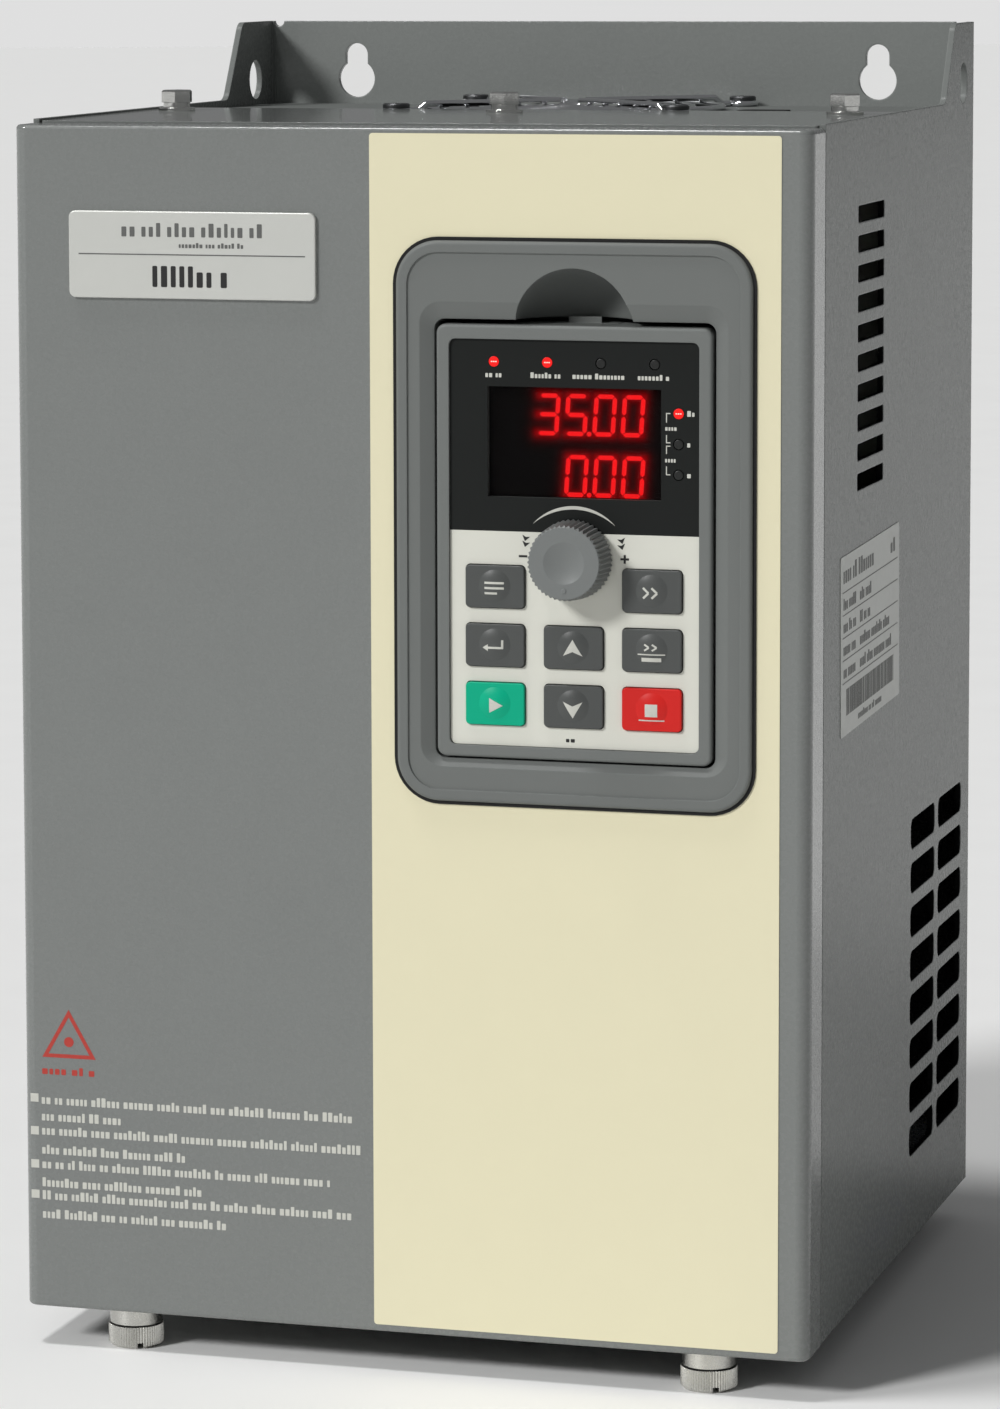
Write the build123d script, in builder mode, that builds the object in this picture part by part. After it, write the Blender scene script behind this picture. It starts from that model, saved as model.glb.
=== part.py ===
from build123d import *
import os
from math import cos, pi, sin

os.makedirs("parts", exist_ok=True)

# Wall-mounted variable frequency drive in a folded sheet-metal case.
# X is to the right seen from the front, the front faces -Y and Z is up. The origin is
# on the rear face, in the middle of the four mounting studs.
#
# Two drawing conventions are used throughout:
#   depth  - distance behind the cover's face
#   height - distance above the cover's lower edge

# ---------------------------------------------------------------- case
body_width = 190.0
body_depth = 190.0
total_height = 301.0
stud_pitch_x = 140.0
stud_pitch_z = 285.0
stud_slot_radius = 3.0
stud_head_radius = 4.9
seat_below_flange_top = 8.8
head_hole_drop = 6.3
sheet = 1.5
seat_height = total_height - seat_below_flange_top
bottom = stud_pitch_z / 2 - seat_height

cover_sheet = 1.2
cover_depth = 13.2
cover_height = 280.3
cover_side_radius = 3.0
cover_top_radius = 1.0
seam = 0.5
side_bottom = 1.1
side_top = 281.2
side_front = cover_depth + seam
side_lip = 13.5
rear_bend_radius = 2.4
half_width = body_width / 2
half_inside = half_width - sheet
rear_inside = body_depth - sheet

ear_foot_depth = 151.8
ear_tip_depth = 164.2
ear_hole_depth = 174.6
ear_hole_height = 285.9
ear_hole_radius = 5.1

# ---------------------------------------------------------------- vents
upper_vent = (29.4, 4.0)
upper_vent_pitch = 6.93
upper_vent_rows = 10
upper_vent_middle = (63.5, 227.9)
lower_vent = (30.0, 7.6)
lower_vent_pitch = (34.1, 11.0)
lower_vent_middle = (145.7, 64.7)

# ---------------------------------------------------------------- top and bottom
deck_top = 279.3
deck_front = 16.5
deck_lip_bottom = 258.0
top_cover_front = 14.0
top_cover_rear = 107.0
bolt_depth = 84.3
bolt_pitch = 84.0
bolt_radius = 2.0
bottom_plate_height = 16.0
tab_height = 1.6
tab_front = 4.5
tab_width = 20.0
thumb_depth = 8.0
thumb_pitch = 140.0
cable_hole_depth = 52.0
cable_hole_pitch = 50.0
cable_hole_radius = 10.0
grommet_waist_radius = 13.0
grommet_flange_radius = 16.0

# ---------------------------------------------------------------- fan
fan_size = 80.0
fan_height = 25.0
fan_depth = 147.5
fan_screw_pitch = 71.5
fan_bore_radius = 38.0
fan_pin_radius = 1.5
fan_wire_radius = 0.8
fan_ring_radii = (8.0, 15.5, 23.0, 30.5, 38.0)
weld_gap = 0.02
fan_screw_head = (3.4, 1.1)
lead_slot = (9.0, 6.0)
lead_slot_middle = (55.5, 122.0)

# ---------------------------------------------------------------- inside
partition_depth = 100.0
heatsink_front = partition_depth + sheet
heatsink_base = 10.0
heatsink_bottom = 118.0
heatsink_top = 242.0
heatsink_width = 160.0
power_module_height = 155.0
rectifier_height = 208.0
module_height = 17.0
power_board_depth = 76.0
power_board_middle = 163.0
power_board_size = (168.0, 198.0)
power_post_pitch = (156.0, 92.0)
board_thickness = 1.6
control_board_depth = 38.0
control_board_middle = 127.0
control_board_size = (152.0, 102.0)
control_post_pitch = (142.0, 92.0)
bracket_depth = 46.0
bracket_bottom = 66.0
bracket_size = (176.0, 116.0)

# ---------------------------------------------------------------- keypad and its tray
keypad_x = 40.0
keypad_size = (64.7, 99.4)
keypad_middle = 186.1
keypad_front = -0.6
keypad_split = 8.0
keypad_rear = 19.0
case_wall = 1.6
overlay_size = (58.5, 93.1)
overlay_middle = 185.85
overlay_front = 0.1
overlay_sheet = 0.25
overlay_edge = 188.6
window_size = (40.5, 25.0)
window_middle = 209.1
key_size = (13.9, 9.75)
key_gap = 0.2
key_front = -0.75
key_travel = 0.6
dome_radius = 3.7
dome_crown = 0.65
dome_rise = 0.2
key_left = -18.5
key_right = 18.4
key_rows = (175.9, 162.4, 148.9)
knob_height = 182.7
knob_front = -8.9
knob_rear = -0.3
knob_front_radius = 8.65
knob_rear_radius = 9.2
knob_face_radius = 8.15
knob_teeth = 48
knob_tooth = 0.5
dish_radius = 4.8
dish_depth = 0.8
shaft_radius = 3.0
running_gap = 0.05
led_radius = 1.2
status_led_pitch = 12.55
status_led_height = 227.35
unit_led_x = 24.4
unit_led_pitch = 6.95
unit_led_height = 209.4

tray_size = (83.5, 128.8)
tray_middle = 190.4
tray_front = -1.5
tray_face = -1.1
tray_rear = 24.3
pocket_size = (66.0, 101.0)
pocket_middle = 186.4
pocket_floor = 22.5
scoop_radius = 13.9
scoop_height = 235.0
socket_height = 168.0
latch_half = 8.0
latch_front = 9.2
latch_rear = 16.6
latch_bottom = 234.5
latch_thickness = 1.3
latch_opening = (8.6, 17.0)
cutout_size = (76.4, 120.5)
cutout_middle = 191.75
film_thickness = 0.2
film_left = -8.2
film_right = 88.0
film_bottom = 1.8
film_top = 279.0
film_corner = 0.8
cutout_corner = 5.0

name_plate_size = (60.1, 20.2)
name_plate_middle = (-51.0, 250.5)
label_size = (66.0, 42.0)
label_middle = (64.2, 160.8)
label_tilt = 1.4

keys = {
    "program_key": (key_left, key_rows[0]),
    "quick_key": (key_right, key_rows[0]),
    "enter_key": (key_left, key_rows[1]),
    "up_key": (0.0, key_rows[1]),
    "shift_key": (key_right, key_rows[1]),
    "run_key": (key_left, key_rows[2]),
    "down_key": (0.0, key_rows[2]),
    "stop_key": (key_right, key_rows[2]),
}


def up(height):
    """Z of a height above the cover's lower edge."""
    return bottom + height


def back(depth):
    """Y of a depth behind the cover's face."""
    return depth - body_depth


def front_plane(depth):
    """Plane parallel to the front: X right, Z up, extruding towards the viewer."""
    return Plane.XZ.offset(body_depth - depth)


def level_plane(height):
    """Horizontal plane at a height, extruding upwards."""
    return Plane.XY.offset(up(height))


def toothed(radius, tooth, count):
    """Corner points of a straight-knurled circle."""
    points = []
    for i in range(2 * count):
        angle = pi * i / count
        reach = radius if i % 2 == 0 else radius - tooth
        points.append((reach * cos(angle), reach * sin(angle)))
    return points


bolt_places = [(x, back(bolt_depth)) for x in (-bolt_pitch, 0.0, bolt_pitch)]
thumb_places = [(x, back(thumb_depth)) for x in (-thumb_pitch / 2, thumb_pitch / 2)]
cable_places = [(x, back(cable_hole_depth)) for x in (-cable_hole_pitch, 0.0, cable_hole_pitch)]
key_places = [(keypad_x + x, up(height)) for x, height in keys.values()]
led_places = [(keypad_x + (i - 1.5) * status_led_pitch, up(status_led_height)) for i in range(4)]
led_places += [(keypad_x + unit_led_x, up(unit_led_height + i * unit_led_pitch)) for i in (-1, 0, 1)]

# ================================================================ case

# Back plate, both sides and the lifting ears, folded from one sheet.
with BuildPart() as folded_case:
    with BuildSketch(level_plane(side_bottom)):
        with Locations((0, back(side_front) / 2)):
            case_outline = Rectangle(body_width, body_depth - side_front)
        fillet(case_outline.vertices().sort_by(Axis.Y)[-2:], rear_bend_radius)
        with Locations((0, (back(side_front + sheet) + back(rear_inside)) / 2)):
            Rectangle(2 * half_inside, rear_inside - side_front - sheet, mode=Mode.SUBTRACT)
        with Locations((0, back(side_front + sheet / 2))):
            Rectangle(body_width - 2 * side_lip, sheet, mode=Mode.SUBTRACT)
    extrude(amount=total_height - side_bottom)
    with BuildSketch(Plane.YZ.offset(-half_width)):
        with BuildLine():
            Polyline(
                (back(side_front), up(side_bottom)),
                (0, up(side_bottom)),
                (0, up(total_height)),
                (back(ear_tip_depth), up(total_height)),
                (back(ear_foot_depth), up(side_top)),
                (back(side_front), up(side_top)),
                close=True,
            )
        side_outline = make_face()
        ear_corners = side_outline.vertices().sort_by(lambda v: abs(v.X - back(158)))[:2]
        fillet(ear_corners, 4.0)
    extrude(amount=body_width, mode=Mode.INTERSECT)
    # The front lips stop below the top cover.
    with BuildSketch(level_plane(deck_lip_bottom + 18)):
        with Locations((0, back(side_front + sheet / 2))):
            Rectangle(2 * half_inside, sheet)
    extrude(amount=20, mode=Mode.SUBTRACT)
    with BuildSketch(Plane.YZ.offset(-half_width)):
        with Locations((back(ear_hole_depth), up(ear_hole_height))):
            Circle(ear_hole_radius)
        with Locations((back(upper_vent_middle[0]), up(upper_vent_middle[1]))):
            with GridLocations(0, upper_vent_pitch, 1, upper_vent_rows):
                RectangleRounded(*upper_vent, 0.8)
        with Locations((back(lower_vent_middle[0]), up(lower_vent_middle[1]))):
            with GridLocations(*lower_vent_pitch, 2, 8):
                RectangleRounded(*lower_vent, 2.4)
    extrude(amount=body_width, mode=Mode.SUBTRACT)
    # Keyholes in the flange and open notches in the lower edge hang on four studs.
    with BuildSketch(front_plane(body_depth)):
        with GridLocations(stud_pitch_x, stud_pitch_z, 2, 2):
            Circle(stud_slot_radius)
        with Locations((0, stud_pitch_z / 2 - head_hole_drop)):
            with GridLocations(stud_pitch_x, 0, 2, 1):
                Circle(stud_head_radius)
        with Locations((0, (stud_pitch_z - head_hole_drop) / 2)):
            with GridLocations(stud_pitch_x, 0, 2, 1):
                Rectangle(2 * stud_slot_radius, head_hole_drop)
        with Locations((0, -stud_pitch_z / 2 - head_hole_drop / 2)):
            with GridLocations(stud_pitch_x, 0, 2, 1):
                Rectangle(2 * stud_slot_radius, head_hole_drop)
        # Bend relief between the flange and the ears.
        with Locations((0, up(total_height))):
            with GridLocations(2 * half_inside - 4, 0, 2, 1):
                Circle(1.4)
    extrude(amount=sheet, mode=Mode.SUBTRACT)

# The sheet is kept as three panels that meet along the rear bends.
panel_half = half_width - rear_bend_radius
with BuildPart() as back_panel:
    add(folded_case.part)
    Box(2 * panel_half, 2 * rear_bend_radius, 2 * total_height, mode=Mode.INTERSECT)
back_panel.part.label = "back_panel"
export_step(back_panel.part, "parts/back_panel.step")

for side, x in (("left", -half_width), ("right", half_width)):
    with BuildPart() as side_panel:
        add(folded_case.part)
        with Locations((x, 0, 0)):
            Box(body_width, 3 * body_depth, 2 * total_height, mode=Mode.INTERSECT)
        Box(2 * panel_half, 2 * rear_bend_radius, 2 * total_height, mode=Mode.SUBTRACT)
    side_panel.part.label = f"{side}_panel"
    export_step(side_panel.part, f"parts/{side}_panel.step")

# Matt deck under the top: carries the fan and is hooked by the front cover.
fan_places = [(x * fan_screw_pitch / 2, back(fan_depth) + y * fan_screw_pitch / 2)
              for x in (-1, 1) for y in (-1, 1)]
tongue_x = 55.0
tongue_width = 16.0
tongue_height = 275.4
tongue_root = 8.0
tongue_tip = 21.0
hook_slot = (22.0, 13.0)
hook_slot_height = 270.5
with BuildPart() as top_deck:
    with BuildSketch(level_plane(deck_top - sheet)):
        with Locations((0, (back(deck_front) + back(rear_inside)) / 2)):
            Rectangle(2 * half_inside, rear_inside - deck_front)
        with Locations((0, back(fan_depth))):
            Circle(fan_bore_radius, mode=Mode.SUBTRACT)
        with Locations(*fan_places):
            Circle(2.2, mode=Mode.SUBTRACT)
        with Locations(*bolt_places):
            Circle(bolt_radius + running_gap, mode=Mode.SUBTRACT)
        with Locations((lead_slot_middle[0], back(lead_slot_middle[1]))):
            Rectangle(*lead_slot, mode=Mode.SUBTRACT)
    extrude(amount=sheet)
    with BuildSketch(front_plane(deck_front)):
        with Locations((0, up((deck_lip_bottom + deck_top) / 2))):
            Rectangle(2 * half_inside, deck_top - deck_lip_bottom)
        with Locations((-tongue_x, up(hook_slot_height)), (tongue_x, up(hook_slot_height))):
            Rectangle(*hook_slot, mode=Mode.SUBTRACT)
    extrude(amount=-sheet)
top_deck.part.label = "top_deck"
export_step(top_deck.part, "parts/top_deck.step")

# Glossy top cover, held by three bolts along its rear part.
with BuildPart() as top_cover:
    with BuildSketch(level_plane(deck_top)):
        with Locations((0, (back(top_cover_front) + back(top_cover_rear)) / 2)):
            RectangleRounded(2 * half_inside - 0.4, top_cover_rear - top_cover_front, 1.0)
        with Locations(*bolt_places):
            Circle(2.2, mode=Mode.SUBTRACT)
    extrude(amount=sheet)
top_cover.part.label = "top_cover"
export_step(top_cover.part, "parts/top_cover.step")
top_cover_top = deck_top + sheet

flat_washer_height = 0.8
spring_washer_height = 1.3
bolt_head_height = 3.0
with BuildPart() as bolt_washers:
    with BuildSketch(level_plane(top_cover_top)):
        with Locations(*bolt_places):
            Circle(4.5)
            Circle(2.15, mode=Mode.SUBTRACT)
    extrude(amount=flat_washer_height)
    # Split spring washers on top of the flat ones.
    with BuildSketch(level_plane(top_cover_top + flat_washer_height)):
        with Locations(*bolt_places):
            Circle(3.3)
            Circle(2.1, mode=Mode.SUBTRACT)
        with Locations(*[(x + 2.7, y - 0.6) for x, y in bolt_places]):
            Rectangle(2.2, 0.5, rotation=20, mode=Mode.SUBTRACT)
    extrude(amount=spring_washer_height)
bolt_washers.part.label = "bolt_washers"
export_step(bolt_washers.part, "parts/bolt_washers.step")

bolt_head_base = top_cover_top + flat_washer_height + spring_washer_height
with BuildPart() as top_bolts:
    with BuildSketch(level_plane(bolt_head_base)):
        with Locations(*bolt_places):
            RegularPolygon(3.5, 6, major_radius=False, rotation=42)
    extrude(amount=bolt_head_height)
    chamfer(top_bolts.faces().sort_by(Axis.Z)[-3:].edges(), 0.35)
    with BuildSketch(level_plane(bolt_head_base)):
        with Locations(*bolt_places):
            Circle(bolt_radius)
    extrude(amount=-9)
top_bolts.part.label = "top_bolts"
export_step(top_bolts.part, "parts/top_bolts.step")

# Recessed bottom plate: cable holes, and two slotted tabs that the cover clamps on.
with BuildPart() as bottom_plate:
    with BuildSketch(level_plane(bottom_plate_height)):
        with Locations((0, (back(deck_front) + back(rear_inside)) / 2)):
            Rectangle(2 * half_inside, rear_inside - deck_front)
        with Locations(*cable_places):
            Circle(grommet_waist_radius, mode=Mode.SUBTRACT)
    extrude(amount=sheet)
    with BuildSketch(front_plane(deck_front)):
        with Locations((0, up((tab_height + bottom_plate_height + sheet) / 2))):
            Rectangle(2 * half_inside, bottom_plate_height + sheet - tab_height)
    extrude(amount=-sheet)
    with BuildSketch(level_plane(tab_height)):
        with Locations(*[(x, back((tab_front + deck_front) / 2)) for x, y in thumb_places]):
            Rectangle(tab_width, deck_front - tab_front)
        with Locations(*thumb_places):
            Circle(2.8, mode=Mode.SUBTRACT)
        with Locations(*[(x, back((tab_front + thumb_depth) / 2)) for x, y in thumb_places]):
            Rectangle(5.6, thumb_depth - tab_front, mode=Mode.SUBTRACT)
    extrude(amount=sheet)
bottom_plate.part.label = "bottom_plate"
export_step(bottom_plate.part, "parts/bottom_plate.step")

with BuildPart() as grommets:
    with BuildSketch(level_plane(bottom_plate_height - 2)):
        with Locations(*cable_places):
            Circle(grommet_flange_radius)
    extrude(amount=2)
    with BuildSketch(level_plane(bottom_plate_height)):
        with Locations(*cable_places):
            Circle(grommet_waist_radius)
    extrude(amount=sheet)
    with BuildSketch(level_plane(bottom_plate_height + sheet)):
        with Locations(*cable_places):
            Circle(grommet_flange_radius)
    extrude(amount=2)
    with BuildSketch(level_plane(bottom_plate_height - 2)):
        with Locations(*cable_places):
            Circle(cable_hole_radius)
    extrude(amount=sheet + 4, mode=Mode.SUBTRACT)
    # Bush for the fan's lead in the deck.
    with BuildSketch(level_plane(deck_top)):
        with Locations((lead_slot_middle[0], back(lead_slot_middle[1]))):
            RectangleRounded(lead_slot[0] + 3, lead_slot[1] + 3, 1.5)
    extrude(amount=1.2)
    with BuildSketch(level_plane(deck_top)):
        with Locations((lead_slot_middle[0], back(lead_slot_middle[1]))):
            Rectangle(lead_slot[0] - 0.2, lead_slot[1] - 0.2)
    extrude(amount=-3.5)
    with BuildSketch(level_plane(deck_top + 1.2)):
        with Locations((lead_slot_middle[0], back(lead_slot_middle[1]))):
            SlotOverall(6.5, 3)
    extrude(amount=-6, mode=Mode.SUBTRACT)
grommets.part.label = "grommets"
export_step(grommets.part, "parts/grommets.step")

# ================================================================ fan

fan_top = deck_top - sheet
with BuildPart() as fan_frame:
    with BuildSketch(level_plane(fan_top - fan_height)):
        with Locations((0, back(fan_depth))):
            RectangleRounded(fan_size, fan_size, 3)
            Circle(fan_bore_radius, mode=Mode.SUBTRACT)
        with Locations(*fan_places):
            Circle(2.15, mode=Mode.SUBTRACT)
    extrude(amount=fan_height)
    # The frame is waisted between its two square flanges.
    with BuildSketch(level_plane(fan_top - fan_height + 4)):
        with Locations((0, back(fan_depth))):
            Rectangle(fan_size + 2, fan_size + 2)
            Circle(fan_bore_radius + 1.6, mode=Mode.SUBTRACT)
    extrude(amount=fan_height - 8, mode=Mode.SUBTRACT)
    # Motor seat, on three struts at the lower side.
    with BuildSketch(level_plane(fan_top - fan_height)):
        with Locations((0, back(fan_depth))):
            Circle(18)
            with PolarLocations(28, 3, start_angle=30):
                Rectangle(22, 4)
    extrude(amount=2.5)
    with BuildSketch(level_plane(fan_top - fan_height + 2.5)):
        with Locations((0, back(fan_depth))):
            Circle(4)
            Circle(fan_pin_radius + running_gap, mode=Mode.SUBTRACT)
    extrude(amount=12)
fan_frame.part.label = "fan_frame"
export_step(fan_frame.part, "parts/fan_frame.step")

rotor_middle = fan_top - 10.5
hub_radius = 18.0
blade_tip_radius = 36.2
with BuildPart() as fan_rotor:
    with Locations((0, back(fan_depth), up(rotor_middle))):
        with PolarLocations(26, 7):
            Box(22, 1.6, 21, rotation=(38, 0, 0))
    with Locations((0, back(fan_depth), up(rotor_middle))):
        Cylinder(blade_tip_radius, 15, mode=Mode.INTERSECT)
        Cylinder(hub_radius, 17)
    with Locations((0, back(fan_depth), up(rotor_middle - 2))):
        Cylinder(hub_radius - 2, 17, mode=Mode.SUBTRACT)
    with Locations((0, back(fan_depth), up(rotor_middle - 0.5))):
        Cylinder(fan_pin_radius, 17)
fan_rotor.part.label = "fan_rotor"
export_step(fan_rotor.part, "parts/fan_rotor.step")

# Wire finger guard: rings welded under four cranked spokes that meet the screw loops.
ring_height = deck_top + fan_wire_radius + weld_gap
spoke_height = ring_height + 2 * fan_wire_radius + weld_gap
loop_height = deck_top + fan_wire_radius
loop_radius = 3.2
loop_middle = fan_screw_pitch / 2 ** 0.5
spoke_foot = loop_middle - loop_radius - fan_wire_radius - 0.05
with BuildPart() as fan_guard:
    for angle in (45, 135, 225, 315):
        along = (cos(angle * pi / 180), sin(angle * pi / 180), 0)
        across = (along[1], -along[0], 0)
        with BuildLine(Plane(origin=(0, back(fan_depth), 0), x_dir=along, z_dir=across)) as spoke:
            FilletPolyline(
                (4, up(spoke_height)),
                (spoke_foot - 4.5, up(spoke_height)),
                (spoke_foot - 2.2, up(loop_height)),
                (spoke_foot, up(loop_height)),
                radius=0.9,
            )
        with BuildSketch(Plane(origin=spoke.line @ 0, z_dir=spoke.line % 0)):
            Circle(fan_wire_radius)
        sweep(path=spoke.line)
    with Locations(*[(x, y, up(loop_height)) for x, y in fan_places]):
        Torus(loop_radius, fan_wire_radius)
    for ring_radius in fan_ring_radii:
        with Locations((0, back(fan_depth), up(ring_height))):
            Torus(ring_radius, fan_wire_radius)
fan_guard.part.label = "fan_guard"
export_step(fan_guard.part, "parts/fan_guard.step")

with BuildPart() as fan_screws:
    with BuildSketch(level_plane(deck_top + 2 * fan_wire_radius)):
        with Locations(*fan_places):
            Circle(fan_screw_head[0])
    extrude(amount=fan_screw_head[1])
    chamfer(fan_screws.faces().sort_by(Axis.Z)[-4:].edges(), 0.35)
    with BuildSketch(level_plane(deck_top + 2 * fan_wire_radius + fan_screw_head[1])):
        with Locations(*fan_places):
            Rectangle(3.8, 0.9)
            Rectangle(0.9, 3.8)
    extrude(amount=-0.7, mode=Mode.SUBTRACT)
    with BuildSketch(level_plane(deck_top + 2 * fan_wire_radius)):
        with Locations(*fan_places):
            Circle(1.95)
    extrude(amount=-28)
fan_screws.part.label = "fan_screws"
export_step(fan_screws.part, "parts/fan_screws.step")

# ================================================================ power section

with BuildPart() as partition:
    with BuildSketch(front_plane(partition_depth)):
        with Locations((0, up((bottom_plate_height + sheet + fan_top) / 2))):
            Rectangle(2 * half_inside, fan_top - bottom_plate_height - sheet)
        with Locations((0, up(180))):
            Rectangle(144, 108, mode=Mode.SUBTRACT)
    extrude(amount=-sheet)
partition.part.label = "partition"
export_step(partition.part, "parts/partition.step")

fin_pitch = 8.0
fin_count = 20
fin_length = 72.0
with BuildPart() as heatsink:
    with BuildSketch(level_plane(heatsink_bottom)):
        with Locations((0, back(heatsink_front + heatsink_base / 2))):
            Rectangle(heatsink_width, heatsink_base)
        with Locations((0, back(heatsink_front + heatsink_base + fin_length / 2))):
            with GridLocations(fin_pitch, 0, fin_count, 1):
                Rectangle(2, fin_length)
    extrude(amount=heatsink_top - heatsink_bottom)
heatsink.part.label = "heatsink"
export_step(heatsink.part, "parts/heatsink.step")

module_front = power_board_depth + board_thickness
with BuildPart() as power_module:
    with BuildSketch(front_plane(heatsink_front)):
        with Locations((0, up(power_module_height))):
            RectangleRounded(107.5, 45, 2)
    extrude(amount=module_height)
    with BuildSketch(front_plane(heatsink_front - module_height)):
        with Locations((0, up(power_module_height))):
            with GridLocations(20, 34, 5, 2):
                Circle(2.5)
    extrude(amount=heatsink_front - module_height - module_front)
power_module.part.label = "power_module"
export_step(power_module.part, "parts/power_module.step")

with BuildPart() as rectifier_module:
    with BuildSketch(front_plane(heatsink_front)):
        with Locations((0, up(rectifier_height))):
            RectangleRounded(94, 34, 2)
    extrude(amount=module_height)
    with BuildSketch(front_plane(heatsink_front - module_height)):
        with Locations((0, up(rectifier_height))):
            with GridLocations(20, 0, 5, 1):
                Circle(3)
    extrude(amount=heatsink_front - module_height - module_front)
rectifier_module.part.label = "rectifier_module"
export_step(rectifier_module.part, "parts/rectifier_module.step")

with BuildPart() as power_board:
    with BuildSketch(front_plane(power_board_depth)):
        with Locations((0, up(power_board_middle))):
            RectangleRounded(*power_board_size, 2)
            with GridLocations(*power_post_pitch, 2, 3):
                Circle(2.1, mode=Mode.SUBTRACT)
    extrude(amount=-board_thickness)
power_board.part.label = "power_board"
export_step(power_board.part, "parts/power_board.step")

with BuildPart() as board_posts:
    with BuildSketch(front_plane(partition_depth)):
        with Locations((0, up(power_board_middle))):
            with GridLocations(*power_post_pitch, 2, 3):
                RegularPolygon(3.5, 6, major_radius=False)
    extrude(amount=partition_depth - module_front)
    with BuildSketch(front_plane(bracket_depth)):
        with Locations((0, up(control_board_middle))):
            with GridLocations(*control_post_pitch, 2, 2):
                Circle(3)
    extrude(amount=bracket_depth - control_board_depth - board_thickness)
board_posts.part.label = "board_posts"
export_step(board_posts.part, "parts/board_posts.step")

capacitor_length = 42.0
capacitor_radius = 17.5
with BuildPart() as bus_capacitors:
    with BuildSketch(front_plane(power_board_depth)):
        with Locations((0, up(221))):
            with GridLocations(44, 36, 3, 2):
                Circle(capacitor_radius)
    extrude(amount=capacitor_length)
    chamfer(bus_capacitors.faces().sort_by(Axis.Y)[:6].edges(), 1.0)
bus_capacitors.part.label = "bus_capacitors"
export_step(bus_capacitors.part, "parts/bus_capacitors.step")

transformer_place = (-62.0, up(98.0))
transformer_core = (26.0, 28.0)
transformer_coil = (20.0, 30.0)
transformer_layers = (9.0, 6.0, 7.0)
with BuildPart() as supply_transformer:
    with BuildSketch(front_plane(power_board_depth)):
        with Locations(transformer_place):
            Rectangle(*transformer_core)
    extrude(amount=transformer_layers[0])
    with BuildSketch(front_plane(power_board_depth - transformer_layers[0])):
        with Locations(transformer_place):
            RectangleRounded(*transformer_coil, 3)
    extrude(amount=transformer_layers[1])
    with BuildSketch(front_plane(power_board_depth - transformer_layers[0] - transformer_layers[1])):
        with Locations(transformer_place):
            Rectangle(*transformer_core)
    extrude(amount=transformer_layers[2])
supply_transformer.part.label = "supply_transformer"
export_step(supply_transformer.part, "parts/supply_transformer.step")

with BuildPart() as precharge_relay:
    with BuildSketch(front_plane(power_board_depth)):
        with Locations((64, up(104))):
            RectangleRounded(14, 29, 1)
    extrude(amount=25)
precharge_relay.part.label = "precharge_relay"
export_step(precharge_relay.part, "parts/precharge_relay.step")

with BuildPart() as current_sensors:
    with BuildSketch(front_plane(power_board_depth)):
        with Locations((10, up(84))):
            with GridLocations(26, 0, 3, 1):
                Rectangle(20, 26)
                Circle(5, mode=Mode.SUBTRACT)
    extrude(amount=14)
current_sensors.part.label = "current_sensors"
export_step(current_sensors.part, "parts/current_sensors.step")

terminal_count = 9
terminal_pitch = 16.0
terminal_height = 40.0
terminal_base_front = 80.0
terminal_length = 26.0
screw_head_height = 2.6
earth_screw_pitch = 170.0
with BuildPart() as power_terminals:
    with BuildSketch(front_plane(partition_depth)):
        with Locations((0, up(terminal_height))):
            Rectangle(terminal_count * terminal_pitch + 2, terminal_length)
    extrude(amount=partition_depth - terminal_base_front)
    with BuildSketch(front_plane(terminal_base_front)):
        with Locations((0, up(terminal_height))):
            with GridLocations(terminal_pitch, 0, terminal_count + 1, 1):
                Rectangle(2, terminal_length)
    extrude(amount=12)
    with BuildSketch(front_plane(terminal_base_front)):
        with Locations((0, up(terminal_height))):
            with GridLocations(terminal_pitch, 0, terminal_count, 1):
                Circle(2 + running_gap)
    extrude(amount=-9, mode=Mode.SUBTRACT)
power_terminals.part.label = "power_terminals"
export_step(power_terminals.part, "parts/power_terminals.step")

with BuildPart() as terminal_screws:
    with BuildSketch(front_plane(terminal_base_front)):
        with Locations((0, up(terminal_height))):
            with GridLocations(terminal_pitch, 0, terminal_count, 1):
                Circle(4)
    extrude(amount=screw_head_height)
    with BuildSketch(front_plane(terminal_base_front - screw_head_height)):
        with Locations((0, up(terminal_height))):
            with GridLocations(terminal_pitch, 0, terminal_count, 1):
                Rectangle(5, 1)
                Rectangle(1, 5)
    extrude(amount=-1.4, mode=Mode.SUBTRACT)
    with BuildSketch(front_plane(terminal_base_front)):
        with Locations((0, up(terminal_height))):
            with GridLocations(terminal_pitch, 0, terminal_count, 1):
                Circle(2)
    extrude(amount=-8)
    # Two earthing screws on the partition, one each side of the block.
    with BuildSketch(front_plane(partition_depth)):
        with Locations((0, up(terminal_height))):
            with GridLocations(earth_screw_pitch, 0, 2, 1):
                Circle(5.5)
    extrude(amount=1)
    with BuildSketch(front_plane(partition_depth - 1)):
        with Locations((0, up(terminal_height))):
            with GridLocations(earth_screw_pitch, 0, 2, 1):
                RegularPolygon(4, 6, major_radius=False)
    extrude(amount=3.5)
terminal_screws.part.label = "terminal_screws"
export_step(terminal_screws.part, "parts/terminal_screws.step")

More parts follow.
